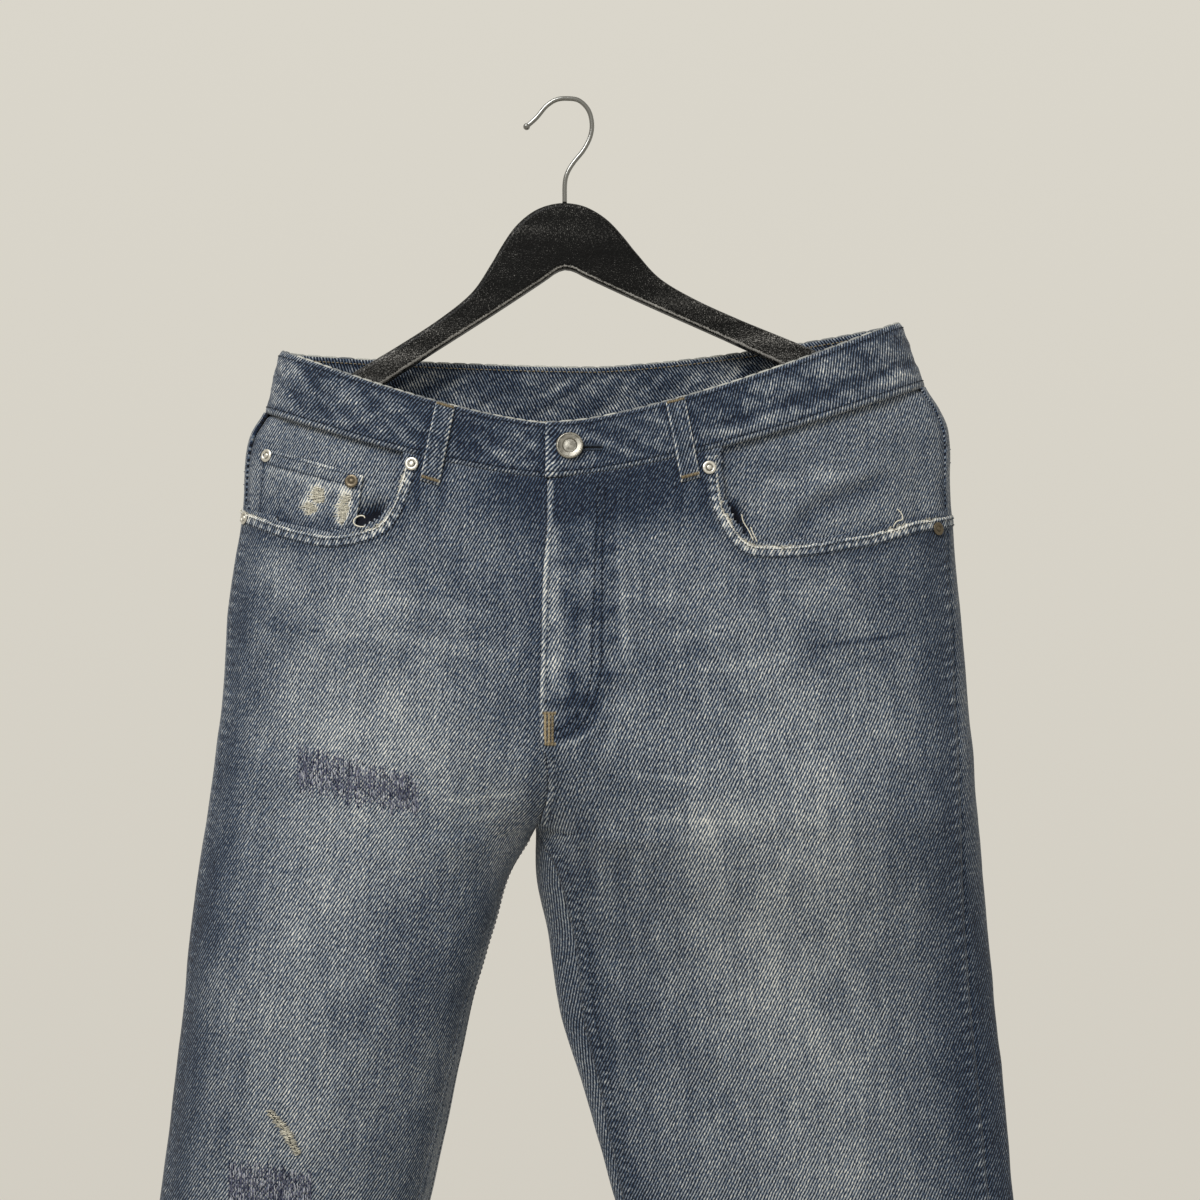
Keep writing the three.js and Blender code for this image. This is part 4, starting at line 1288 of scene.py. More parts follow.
# ---------------------------------------------------------------- garment pieces
def declare_sheet(piece: bpy.types.Object, grid: np.ndarray,
                  keep: np.ndarray | None = None) -> None:
    """Works out and logs the size and area of a cloth piece's cut.

    Args:
        piece: The cloth.
        grid: Its grid of points, in millimetres.
        keep: Which cells of the grid it has, all of them if left out.
    """
    kept = 1 if keep is None else keep
    across = np.linalg.norm(np.diff(grid, axis=1), axis=2)
    along = np.linalg.norm(np.diff(grid, axis=0), axis=2)
    across, along = (across[:-1] + across[1:]) / 2, (along[:, :-1] + along[:, 1:]) / 2
    width = float((across * kept).sum(axis=1).max()) * MM
    length = float((along * kept).sum(axis=0).max()) * MM
    area = float((across * along * kept).sum()) * MM * MM
    area = min(max(area, 0.3 * width * length), width * length)
    LOG.info("%s: cut %.0f x %.0f mm, %.4f m2", piece.name, width / MM, length / MM, area)


@dataclass(frozen=True)
class Panels:
    """The big cut pieces: two fronts, two backs and the yokes above them."""

    yoke_rows: int = 14
    hem_clear: float = 10.0
    opening_margin: float = 3.4

    def build(self, cloth: ClothSide, finishes: Finishes) -> None:
        """Makes one side's panels.

        Args:
            cloth: The side's grid.
            finishes: The finishes.
        """
        word = cloth.side.word
        keep = np.ones((len(cloth.base) - 1, cloth.base.shape[1] - 1), bool)
        keep[:BAND_ROWS] = False
        middle = (cloth.base[:-1, :-1] + cloth.base[1:, 1:]) / 2
        keep[middle[..., 2] < HEM_Z + self.hem_clear - 1] = False
        columns = np.arange(keep.shape[1])[None]
        rows = np.arange(keep.shape[0])[:, None]
        is_front = columns < FRONT_COLUMNS
        yoke = rows < BAND_ROWS + self.yoke_rows
        for name, mask in ((f"front_{word}", keep & is_front & ~self.opening(cloth, middle)),
                           (f"back_{word}", keep & ~is_front & ~yoke),
                           (f"yoke_{word}", keep & ~is_front & yoke)):
            self.panel(name, cloth, mask, finishes)

    def opening(self, cloth: ClothSide, middle: np.ndarray) -> np.ndarray:
        """Finds the cells that the pocket opening takes away.

        Args:
            cloth: The side's cloth.
            middle: The middle of each cell.

        Returns:
            One flag for each cell.
        """
        line = smooth_line(OPENINGS[cloth.side], 2.0)
        line = line - aside_of(line) * cloth.side.value * -self.opening_margin
        x, z = middle[..., 0], middle[..., 2]
        order = np.argsort(line[:, 0])
        lowest = np.interp(x, line[order, 0], line[order, 1])
        inner = np.abs(line[-1, 0])
        return (z > lowest) & (np.abs(x) > inner) & (z > -330)

    def panel(self, name: str, cloth: ClothSide, mask: np.ndarray, finishes: Finishes) -> None:
        """Makes one panel.

        Args:
            name: The panel's name.
            cloth: The side's cloth.
            mask: The cells of the grid that it has.
            finishes: The finishes.
        """
        i, j = np.nonzero(mask)
        rows, columns = slice(i.min(), i.max() + 2), slice(j.min(), j.max() + 2)
        outer = cloth.grid[rows, columns]
        inner = outer - cloth.normals[rows, columns] * CLOTH
        keep = mask[i.min():i.max() + 1, j.min():j.max() + 1]
        wear_and_shade = cloth.wear_and_shade[rows, columns]
        piece = shell(f"{name}_cloth", outer, inner, cloth.uv[rows, columns], wear_and_shade, keep)
        dress(piece, finishes.denim, "denim", name)
        declare_sheet(piece, outer, keep)


@dataclass
class Waistband:
    """The band: one strip round the waist that laps over itself at the button."""

    depth: float = 38.0
    raise_by: float = 0.9
    lap: float = 2.4
    overlap: float = 3.0
    hole_z: float = -240.2
    outer: np.ndarray | None = None

    def build(self, right: ClothSide, left: ClothSide, finishes: Finishes) -> None:
        """Makes the band.

        Args:
            right: The wearer's right side.
            left: The wearer's left side.
            finishes: The finishes.
        """
        rows = slice(0, BAND_ROWS + 1)
        base = joined(right.base[rows], left.base[rows])
        normals = unit(joined(right.normals[rows], left.normals[rows]))
        run = np.concatenate([[0], np.cumsum(np.linalg.norm(np.diff(base[0], axis=0), axis=1))])
        height = np.linspace(0, 1, BAND_ROWS + 1)[:, None]
        x = base[..., 0]
        along = np.broadcast_to(run[None], x.shape)
        deep = height * self.depth
        front = normals[..., 1] < 0
        # Washing has pulled the band into slanting ropes between its two rows of stitches.
        rope = lattice_noise(along + deep * 1.5, deep * 0.7, 9, 71)
        rope = rope + 0.5 * lattice_noise(along - deep, deep, 5, 72)
        middle = step(height, 0.04, 0.2) * step(1 - height, 0.08, 0.22)
        relief = self.raise_by + 0.75 * rope * middle + 0.35 * lattice_noise(along, deep, 40, 73)
        relief = relief - 0.55 * bell(deep - 2.6, 1.1) - 0.5 * bell(deep - 35, 1.1)
        relief = relief - 1.2 * bell(height, 0.035) - 1.0 * bell(1 - height, 0.03)
        from_end = along[0, -1] - along
        relief = relief + self.lap * step(from_end, 26, 6)
        cloud = lattice_noise(along, deep, 26, 74)
        wear_and_shade = 0.135 + 0.21 * rope * middle + 0.08 * cloud + 0.06 * front * step(np.abs(x), 90, 150)
        wear_and_shade = wear_and_shade + 0.05 * lattice_noise(along, deep * 2, 3.0, 75)
        # The top edge is rubbed pale; the dark line under it is painted shade in the groove of the top row of
        # stitches.
        wear_and_shade = wear_and_shade + 0.14 * bell(deep - 0.3, 1.3) - 0.13 * bell(deep - 3.4, 1.8)
        wear_and_shade = wear_and_shade + 0.30 * bell(deep - 36.9, 1.0) + 0.05 * bell(deep - 31, 4)
        # Painted shadow of the left end's lap on the right end of the band.
        wear_and_shade = wear_and_shade - 0.32 * bell(along - 4.5, 2.6)
        # On the wearer's left the band is creased along its length, with painted shade in the crease and a
        # paler strip below it.
        crease = front * step(x, 70, 105)
        relief = relief - 0.8 * bell(deep - 23.5, 2.2) * crease
        wear_and_shade = wear_and_shade + crease * (0.10 * bell(deep - 30, 4) - 0.24 * bell(deep - 23.5, 2.4))
        wear_and_shade = wear_and_shade + 0.30 * bell(from_end - 0.5, 1.6) + 0.16 * bell(from_end - 3, 3) * (deep > 28)
        outer = base + normals * relief[..., None]
        # The left end reaches past the middle and covers the right one.
        outer[:, -4:, 0] -= self.overlap * np.array([0.1, 0.35, 0.7, 1.0])[None]
        inner = outer - normals * BAND
        inner[0] += (outer[0] - inner[0]) * 0.25
        # Painted shade in the groove of the lower row of stitches.
        wear_and_shade = wear_and_shade - 0.16 * bell(deep - 33.6, 1.0)
        # Painted shadow beside each front belt loop.
        for loop in FRONT_LOOPS:
            middle_x = mixed(loop.top, loop.low, height)
            wear_and_shade = wear_and_shade - 0.24 * front * bell(np.abs(x - middle_x) - loop.width / 2 - 1.2, 1.6)
        uv = np.stack([-along, np.broadcast_to(-deep, along.shape)], axis=-1) * MM
        piece = shell("waistband_cloth", outer, inner, uv, wear_and_shade)
        dress(piece, finishes.dark_denim, "denim_dark", "waistband")
        self.outer = outer
        threads = MeshParts()
        ochre = MeshParts()
        stitch = Stitch(3.0, 2.1, 0.36)
        for parts, face, way, share, lift, shade in (
                (threads, outer, normals, 0.075, 0.1, 0.1), (threads, outer, normals, 0.905, 0.1, 0.1),
                (ochre, inner, -normals, 0.075, 0.0, 0.5), (ochre, inner, -normals, 0.945, 0.0, 0.4)):
            line, out = row_line(face, way, share * BAND_ROWS)
            stitch.sew(parts, line + out * lift, out, shade)
        # The fold along the top is rubbed pale all the way round.
        fold = MeshParts()
        crest = (outer[0] + inner[0]) / 2
        pale = 0.5 + 0.45 * lattice_noise(along[0], along[0] * 0, 6, 76)
        for start in range(0, len(crest) - 1, 5):
            fold.add(*tube(crest[start:start + 6], 1.1), float(pale[start]))
        dress(fold.piece("band_fold"), finishes.worn_fold, "denim_dark")
        dress(threads.piece("band_stitches"), finishes.navy_thread, "denim_dark")
        dress(ochre.piece("band_inner_stitches"), finishes.ochre_thread, "denim_dark")
        declare_sheet(piece, outer)
        self.buttonhole(finishes)

    def buttonhole(self, finishes: Finishes) -> None:
        """Makes a buttonhole worked with thread, just beside the button, with a near-black tube of painted
        shade in its slit.

        Args:
            finishes: The finishes.
        """
        parts, shade_slit = MeshParts(), MeshParts()
        spots = self.outer[:, -60:]
        for k, x in enumerate(np.linspace(9.5, 24.0, 26)):
            for up in (-1.0, 1.0):
                root = np.array([x, self.hole_z + up * 0.55])
                tip = np.array([x + 0.2, self.hole_z + up * 2.1])
                ends = np.stack([nearest_on(spots, place) for place in (root, (root + tip) / 2, tip)])
                ends[1, 1] -= 0.5
                parts.add(*tube(ends + [0, -0.15, 0], 0.34), 0.5 - 0.15 * (k % 3 == 0))
        line = np.stack([nearest_on(spots, np.array([x, self.hole_z])) for x in np.linspace(9, 24.6, 12)])
        shade_slit.add(*tube(line + [0, -0.1, 0], 0.5), 0.0)
        dress(parts.piece("buttonhole_stitches"), finishes.navy_thread, "denim_dark")
        dress(shade_slit.piece("buttonhole_painted_shade"), finishes.shade_slit, "denim_dark")


def joined(right: np.ndarray, left: np.ndarray) -> np.ndarray:
    """Both sides as one strip: right front, right back, left back, left front."""
    back = (right[:, -1:] + left[:, -1:]) / 2
    return np.concatenate([right[:, :-1], back, left[:, ::-1][:, 1:]], axis=1)


def row_line(grid: np.ndarray, normals: np.ndarray, row: float) -> tuple[np.ndarray, np.ndarray]:
    """The points and normals along one row of a grid.

    Args:
        grid: The points.
        normals: The outward direction at each.
        row: The row, as a fraction.

    Returns:
        The row's points and its directions.
    """
    place = np.stack([np.full(grid.shape[1], row), np.arange(grid.shape[1], dtype=float)], axis=1)
    return sample(grid, place), unit(sample(normals, place))


def nearest_on(grid: np.ndarray, spot: np.ndarray) -> np.ndarray:
    """The place of a grid seen at x and z, from the few points around it.

    Args:
        grid: The points.
        spot: The x and the z.

    Returns:
        The point.
    """
    flat = grid.reshape(-1, 3)
    away = np.hypot(flat[:, 0] - spot[0], flat[:, 2] - spot[1])
    near = np.argsort(away)[:4]
    share = 1 / (away[near] + 0.05)
    y = (flat[near, 1] * share).sum() / share.sum()
    return np.array([spot[0], y, spot[1]])


@dataclass(frozen=True)
class PocketHem:
    """The turned edge of a front pocket's opening, frayed white where hands have rubbed it."""

    edge_wear: float
    thickness: float = 1.6
    pucker_pitch: float = 5.6

    def build(self, cloth: ClothSide, worn: tuple[tuple[float, float, float], ...],
              finishes: Finishes) -> None:
        """Makes the hem, its two rows of stitches and its frayed yarns.

        Args:
            cloth: The side's cloth.
            worn: Where the edge is worn through: x, z and reach, in millimetres.
            finishes: The finishes.
        """
        word = cloth.side.word
        line = smooth_line(OPENINGS[cloth.side], 1.0)
        aside = aside_of(line) * cloth.side.value
        if aside[len(aside) // 3, 1] > 0:
            aside = -aside
        across = np.array([-0.35, 0.1, 0.7, 1.4, 2.2, 3.2, 4.4, 5.6, 6.6, 7.4, 8.0])
        profile = np.array([-1.6, -0.1, 0.75, 1.05, 0.9, 0.7, 0.75, 0.7, 0.7, 0.55, -0.2]) 
        thin = np.zeros(len(line))
        for x, z, reach in worn:
            thin = np.maximum(thin, bell(np.hypot(line[:, 0] - x, line[:, 1] - z), reach))
        ragged = (0.35 + 0.6 * thin) * lattice_noise(np.arange(len(line)), thin * 0, 3, 5 + cloth.side.value)
        spots = line[None] + aside[None] * (across[:, None] + ragged[None] * (across[:, None] < 1))[..., None]
        place = cloth.seek(spots)
        run = np.arange(len(line)) * 1.0
        drift = 1.5 * lattice_noise(run, run * 0, 19, 3)
        pucker = np.sin(run * 2 * math.pi / self.pucker_pitch + drift)[None]
        band = bell(across - 4.6, 2.6)[:, None]
        lift = profile[:, None] + 0.22 * pucker * band
        lump = lattice_noise(spots[..., 0], spots[..., 1], 3.0, 8) * (across < 3)[:, None]
        lift = lift + (0.25 + 0.55 * thin[None]) * lump
        normals = sample(cloth.normals, place)
        outer = cloth.at(place, lift)
        inner = outer - normals * self.thickness
        inner[-1] = outer[-1] - normals[-1] * 0.6
        uv = sample(cloth.uv, place)
        edge = bell(across - 0.4, 1.3)[:, None]
        patchy = 0.6 + 0.4 * lattice_noise(run, run * 0, 9, 6)[None]
        wear_and_shade = 0.39 + 0.20 * pucker * band + edge * (self.edge_wear * 0.42 * patchy + 0.40 * thin[None])
        wear_and_shade = wear_and_shade + 0.42 * thin[None] * bell(across - 1.4, 3.4)[:, None]
        # The dark lines are painted shade: in the groove at the hem's inner edge and in the groove of its
        # first row of stitches.
        wear_and_shade = wear_and_shade - 0.24 * bell(across - 7.7, 1.0)[:, None] - 0.12 * bell(across - 2.9, 0.7)[:, None]
        wear_and_shade = wear_and_shade + 0.12 * lattice_noise(spots[..., 0], spots[..., 1], 2.5, 9)
        piece = shell(f"pocket_hem_{word}_cloth", outer, inner, uv, wear_and_shade)
        dress(piece, finishes.denim, "denim")
        threads = MeshParts()
        for at in (2.6, 6.8):
            index = int(np.argmin(np.abs(across - at)))
            Stitch(2.9, 2.1, 0.34).sew(threads, outer[index], normals[index], 0.15)
        dress(threads.piece(f"pocket_hem_stitches_{word}"), finishes.navy_thread, "denim")
        self.fray(cloth, outer, normals, aside, thin, finishes)

    def fray(self, cloth: ClothSide, outer: np.ndarray, normals: np.ndarray, aside: np.ndarray,
             thin: np.ndarray, finishes: Finishes) -> None:
        """Makes short white yarn ends along the worn stretches of the edge.

        Args:
            cloth: The side's cloth.
            outer: The hem's face, as a grid of points.
            normals: Its outward direction at each point.
            aside: The way from the edge into the cloth, as x and z, at each point of the edge.
            thin: How far the edge is worn through at each of them.
            finishes: The finishes.
        """
        rng = np.random.default_rng(21 + cloth.side.value)
        parts = MeshParts()
        for k in range(0, outer.shape[1]):
            chance = 0.35 + 1.9 * thin[k]
            for _ in range(int(chance + rng.random())):
                root = outer[2, k] + rng.uniform(-0.3, 0.3, 3)
                along = outer[2, min(k + 1, outer.shape[1] - 1)] - outer[2, max(k - 1, 0)]
                lean = unit(along[None])[0] * rng.uniform(-1.1, 1.1)
                up = np.array([-aside[k, 0], 0.0, -aside[k, 1]])
                reach = rng.uniform(0.5, 1.4) + 1.9 * thin[k] * rng.random()
                way = lean + up * rng.uniform(0.0, 0.9) + normals[2, k] * rng.uniform(0.1, 0.6)
                way = unit(way[None])[0]
                curl = rng.uniform(-0.4, 0.4, 3)
                points = np.stack([root, root + way * reach * 0.5 + curl * 0.5, root + way * reach + curl])
                parts.add(*tube(points, rng.uniform(0.13, 0.24)), rng.uniform(0.3, 1.0))
        for path in LOOSE_ENDS if cloth.side is Side.LEFT else ():
            spots = smooth_line(np.array(path), 0.8)
            parts.add(*tube(cloth.sheet_at(spots, 2.2), 0.36), 0.9)
        dress(parts.piece(f"pocket_fray_{cloth.side.word}"), finishes.raw_cotton, "denim")


@dataclass(frozen=True)
class PocketFacing:
    """The denim behind a front pocket's opening; it hangs a little slack under the waist."""

    depth: float = 4.0
    seam_depth: float = 0.9
    tuck_rows: int = 5
    tuck_depth: float = 3.4
    rows: int = 52
    cut_shift: float = 0.37

    def build(self, cloth: ClothSide, finishes: Finishes) -> None:
        """Makes one side's facing.

        Args:
            cloth: The side's cloth.
            finishes: The finishes.
        """
        word = cloth.side.word
        rows = slice(BAND_ROWS - self.tuck_rows, BAND_ROWS + self.rows)
        columns = slice(30, FRONT_COLUMNS + 2)
        base = cloth.base[rows, columns]
        normals = cloth.normals[rows, columns]
        x, z = base[..., 0], base[..., 2]
        seed = 51 + cloth.side.value
        relief = 0.5 * lattice_noise(x, z, 24, seed)
        wear_and_shade = 0.335 + 0.05 * lattice_noise(x, z, 30, seed) + 0.04 * lattice_noise(x, z, 9, seed + 1)
        if cloth.side is Side.LEFT:
            fold = Streak(((222, -248), (190, -262), (165, -270), (152, -284), (150, -300)), 7, fade=0.25)
            relief = relief + 1.5 * fold.weight(x, z - 3) - 1.9 * fold.weight(x, z + 7)
            # The fold is raised: the trough below it is painted darker as shade, and its upper side a little
            # paler as highlight.
            wear_and_shade = wear_and_shade - 0.13 * fold.weight(x, z + 8) + 0.05 * fold.weight(x, z - 6)
            wear_and_shade = wear_and_shade + 0.20 * bell(np.hypot((x - 142) / 2.2, z + 262), 4.5)
            wear_and_shade = wear_and_shade + 0.12 * bell(np.hypot((x - 172) / 2.6, z + 257), 5)
            wear_and_shade = wear_and_shade - 0.10 * bell(z + 247, 9) * step(x, 165, 95)
            relief = relief - 9 * bell(np.hypot(x - 110, (z + 289) * 0.8), 9)
            gape = Streak(((105, -271), (109, -282), (114, -291), (121, -299)), 4.2, fade=0.4)
            wear_and_shade = wear_and_shade + 0.05 * step(z, -262, -280)
        else:
            relief = relief - 8 * bell(np.hypot((x + 124) * 0.7, z + 283), 8)
            gape = Streak(((-156, -295), (-139, -291), (-127, -286), (-115, -276)), 5.4, fade=0.4)
            wear_and_shade = wear_and_shade - 0.08 * step(z, -262, -290)
            wear_and_shade = wear_and_shade - 0.08 * bell(z + 236, 6) * step(x, -150, -190)
        # Where the pocket's edge stands open, no light reaches the cloth behind: that shade is painted dark,
        # and so is the shade in the narrow gap by the outseam.
        wear_and_shade = wear_and_shade - 1.1 * gape.weight(x, z) - 0.16 * bell(cloth.from_outseam[rows, columns] - 2, 2.5)
        sunk = self.depth - (self.depth - self.seam_depth) * step(cloth.from_outseam[rows, columns], 26, 3)
        lift = relief - sunk
        # Its top edge is tucked up behind the band.
        tuck = slice(0, self.tuck_rows + 1)
        lift[tuck] = np.minimum(lift[tuck], -self.tuck_depth)
        outer = base + normals * lift[..., None]
        inner = outer - normals * TRIM
        middle = (base[:-1, :-1] + base[1:, 1:]) / 2
        line = smooth_line(OPENINGS[cloth.side], 2.0)
        order = np.argsort(line[:, 0])
        lowest = np.interp(middle[..., 0], line[order, 0], line[order, 1])
        keep = (middle[..., 2] > lowest - 16) & (np.abs(middle[..., 0]) > 86)
        uv = cloth.uv[rows, columns] + self.cut_shift
        piece = shell(f"pocket_facing_{word}_cloth", outer, inner, uv, wear_and_shade, keep, least=-0.6)
        dress(piece, finishes.denim, "denim", f"pocket_facing_{word}")
        declare_sheet(piece, outer, keep)


@dataclass(frozen=True)
class CoinPocket:
    """The small pocket inside the right opening, worn through in two places."""

    corners: Stations = (
        (-203, -237.2), (-131.4, -257.7), (-207.5, -310), (-141, -318),
    )
    width: float = 74.0
    height: float = 64.0
    columns: int = 84
    rows: int = 66
    lift: float = -2.5
    thickness: float = 1.1

    def build(self, cloth: ClothSide, finishes: Finishes) -> None:
        """Makes the pocket, its stitches, and the cream yarns that bridge its holes.

        Args:
            cloth: The cloth of the wearer's right side.
            finishes: The finishes.
        """
        top_left, top_right, low_left, low_right = (np.array(c) for c in self.corners)
        s = np.linspace(0, 1, self.columns + 1)[None, :, None]
        t = np.linspace(0, 1, self.rows + 1)[:, None, None]
        spots = (top_left * (1 - s) + top_right * s) * (1 - t) + (low_left * (1 - s) + low_right * s) * t
        x, z = spots[..., 0], spots[..., 1]
        width, height = s[..., 0] * self.width, t[..., 0] * self.height
        ripple = lattice_noise(x, z, 7, 31)
        top = step(height, 9.5, 7.5)
        sag = -0.8 * bell(np.hypot((width - 66) * 0.8, height - 26), 9)
        lift = self.lift + 0.35 * ripple + 0.7 * top + sag + 0.7 * bell(width - 1.5, 3)
        lift = lift + 0.3 * np.sin(width * 2 * math.pi / 6.0) * bell(height - 5, 3)
        wear_and_shade = 0.29 + 0.10 * ripple + 0.05 * lattice_noise(x, z, 3, 33)
        wear_and_shade = wear_and_shade + (0.2 + 0.16 * ripple) * bell(height - 0.4, 1.2)
        # The dark lines along the upper row of stitches and along the left row are painted shade in their
        # grooves.
        wear_and_shade = wear_and_shade - 0.17 * bell(height - 8.8, 1.3) + 0.12 * bell(height - 11, 3)
        wear_and_shade = wear_and_shade + 0.14 * bell(np.hypot(width - 40, height - 16), 12) + 0.3 * bell(width - 74, 1.6)
        wear_and_shade = wear_and_shade - 0.12 * bell(width - 2.4, 1.2) - 0.12 * step(height, 30, 42)
        wear_and_shade = wear_and_shade + 0.38 * bell(width - 66, 4.0) * bell(height - 22, 12) - 0.2 * step(width, 6, 1) * top
        place = cloth.seek(spots)
        normals = sample(cloth.normals, place)
        outer = sample(cloth.base, place) + normals * lift[..., None]
        inner = outer - normals * self.thickness
        hole = np.minimum(np.hypot((width - 45) / 4.4, (height - 20.5) / 4.8),
                          np.minimum(np.hypot((width - 40.5) / 4.4, (height - 29) / 3.8),
                                     np.hypot((width - 64.0) / 3.6, (height - 24) / 9.0)))
        hole = hole + 0.34 * lattice_noise(x, z, 2.2, 35)
        wear_and_shade = wear_and_shade + 0.38 * bell(np.maximum(hole - 1, 0), 0.5)
        keep = (hole > 1)[:-1, :-1]
        uv = sample(cloth.uv, place) + 0.21
        piece = shell("coin_pocket_cloth", outer, inner, uv, wear_and_shade, keep)
        dress(piece, finishes.denim, "denim", "coin_pocket")
        declare_sheet(piece, outer, keep)
        threads, yarns = MeshParts(), MeshParts()
        stitch = Stitch(2.7, 2.1, 0.26)
        for row in (2, 9):
            stitch.sew(threads, outer[row, 2:-2], normals[row, 2:-2], 0.35)
        stitch.sew(threads, outer[3:, 3], normals[3:, 3], 0.3)
        stitch.sew(threads, outer[3:, -7], normals[3:, -7], 0.3)
        rng = np.random.default_rng(77)
        for cell in np.argwhere((hole[:-1, :-1] < 1.12)):
            i, j = cell
            if rng.random() < 0.72:
                half = rng.uniform(2.0, 4.6)
                root = outer[i, j] - normals[i, j] * rng.uniform(0.2, 0.9)
                tilt = rng.uniform(-0.25, 0.25)
                way = np.array([1.0, 0.0, tilt]) if rng.random() < 0.75 else np.array([tilt, 0.0, 1.0])
                bow = normals[i, j] * rng.uniform(0.1, 0.7)
                points = np.stack([root - way * half, root + bow, root + way * half])
                yarns.add(*tube(points, rng.uniform(0.2, 0.34)), rng.uniform(0.35, 1.0))
        # One long end has sprung out of the corner into a loop.
        angle = np.linspace(0, 5.4, 20)
        loop = np.stack([-131.5 + 2.9 * np.cos(angle) * (1 + 0.15 * angle),
                         -286.5 + 2.6 * np.sin(angle) - 0.6 * angle], axis=1)
        yarns.add(*tube(cloth.sheet_at(loop, 2.4), 0.42), 0.95)
        dress(threads.piece("coin_pocket_stitches"), finishes.navy_thread, "denim")
        dress(yarns.piece("coin_pocket_yarns"), finishes.raw_cotton, "denim")


@dataclass(frozen=True)
class BeltLoop:
    """A folded strip from the band's top edge to just under its seam, barred at both ends."""

    name: str
    top: float
    low: float
    is_front: bool = True
    width: float = 12.5
    rows: int = 43
    below: float = 16.5

    def build(self, cloth: ClothSide, finishes: Finishes, whole_band: Waistband) -> None:
        """Makes the loop with its stitches and bars.

        Args:
            cloth: The side it sits on.
            finishes: The finishes.
            whole_band: The band it crosses.
        """
        grid = cloth.grid.copy()
        grid[:BAND_ROWS + 1] = split_band(whole_band.outer, cloth.side)
        first, last = (0, FRONT_COLUMNS) if self.is_front else (FRONT_COLUMNS, ALL_COLUMNS)

        def edge(row: int, x: float) -> float:
            """The height of a grid row at x."""
            near = first + int(np.argmin(np.abs(cloth.base[row, first:last + 1, 0] - x)))
            return float(cloth.base[row, near, 2])

        high = edge(0, self.top) + 0.8
        foot = edge(BAND_ROWS, self.low) - self.below
        t = np.linspace(0, 1, self.rows + 1)[:, None, None]
        s = np.array([-0.5, -0.47, -0.4, -0.28, -0.12, 0.0, 0.12, 0.28, 0.4, 0.47, 0.5])[None, :, None]
        x = mixed(self.top, self.low, t) + s * self.width
        slope = (edge(0, self.top + 6) - edge(0, self.top - 6)) / 12
        z = mixed(high, foot, t) + s * self.width * slope
        spots = np.concatenate([x, z], axis=2)
        place = cloth.seek(spots, self.is_front)
        out = sample(cloth.normals, place)
        base = sample(grid, place)
        along = t[..., 0] * abs(high - foot)
        arch = 1.5 * np.sin(math.pi * t[..., 0]) ** 0.5
        profile = np.array([0.1, 0.95, 1.35, 1.3, 1.05, 1.0, 1.05, 1.3, 1.35, 0.95, 0.1])[None]
        ends = bell(t[..., 0], 0.012) + bell(1 - t[..., 0], 0.012)
        steadied = base.copy()
        steadied[..., 1] = smooth_rows(base[..., 1])
        ruffle = lattice_noise(along + 0 * profile, 11 * s[..., 0] + 0 * along, 3.2, len(self.name))
        outer = steadied + out * (0.5 + profile + arch + 0.12 * ruffle - 0.7 * ends)[..., None]
        inner = steadied + out * (0.1 + arch * 0.9)[..., None]
        wear_and_shade = 0.25 + 0.13 * ruffle + 0.40 * bell(np.abs(s[..., 0]) - 0.46, 0.04)
        # The dark lines along the two rows of stitches are painted shade in their grooves.
        wear_and_shade = wear_and_shade - 0.08 * bell(np.abs(s[..., 0]) - 0.28, 0.08) + 0.22 * ends
        over = s[..., 0] * self.width + self.top
        uv = np.stack([over + 0 * along, -along + 0 * profile], axis=-1) * MM
        piece = shell(f"{self.name}_cloth", outer, inner, uv, wear_and_shade)
        dress(piece, finishes.dark_denim, "denim", self.name)
        declare_sheet(piece, outer)
        threads, bars = MeshParts(), MeshParts()
        for column in (3, 7):
            Stitch(2.6, 2.0, 0.22).sew(threads, outer[2:-2, column], out[2:-2, column], 0.45)
        for row in (2, self.rows - 2):
            for k in range(22):
                share = -0.44 + 0.88 * k / 21
                column = np.interp(share, s[0, :, 0], np.arange(11.0))
                place = np.array([[row - 0.9, column], [row, column], [row + 0.9, column]], float)
                spot = sample(outer, place)
                lift = sample(out, place[[1, 1, 1]]) * np.array([[0.05], [0.4], [0.05]])
                bars.add(*tube(spot + lift, 0.27), 0.25 + 0.5 * ((k * 7) % 5) / 5)
        dress(threads.piece(f"{self.name}_stitches"), finishes.navy_thread, "denim")
        dress(bars.piece(f"{self.name}_bars"), finishes.ochre_thread, "denim")


FRONT_LOOPS = (BeltLoop("belt_loop_front_right", -77, -87), BeltLoop("belt_loop_front_left", 71.5, 81.5))
BACK_LOOPS = (BeltLoop("belt_loop_back_right", -110, -114, False),
              BeltLoop("belt_loop_back_left", 148, 152, False),
              BeltLoop("belt_loop_back", 25.5, 25.5, False))


def smooth_rows(values: np.ndarray) -> np.ndarray:
    """Evens out each column along its length, ends kept."""
    result = values.copy()
    for _ in range(4):
        result[1:-1] = (result[:-2] + 2 * result[1:-1] + result[2:]) / 4
    return result


def split_band(strip: np.ndarray, side: Side) -> np.ndarray:
    """One side's part of the band's strip, from its inner front end to the middle of the back."""
    half = ALL_COLUMNS
    return strip[:, :half + 1] if side is Side.RIGHT else strip[:, half:][:, ::-1]


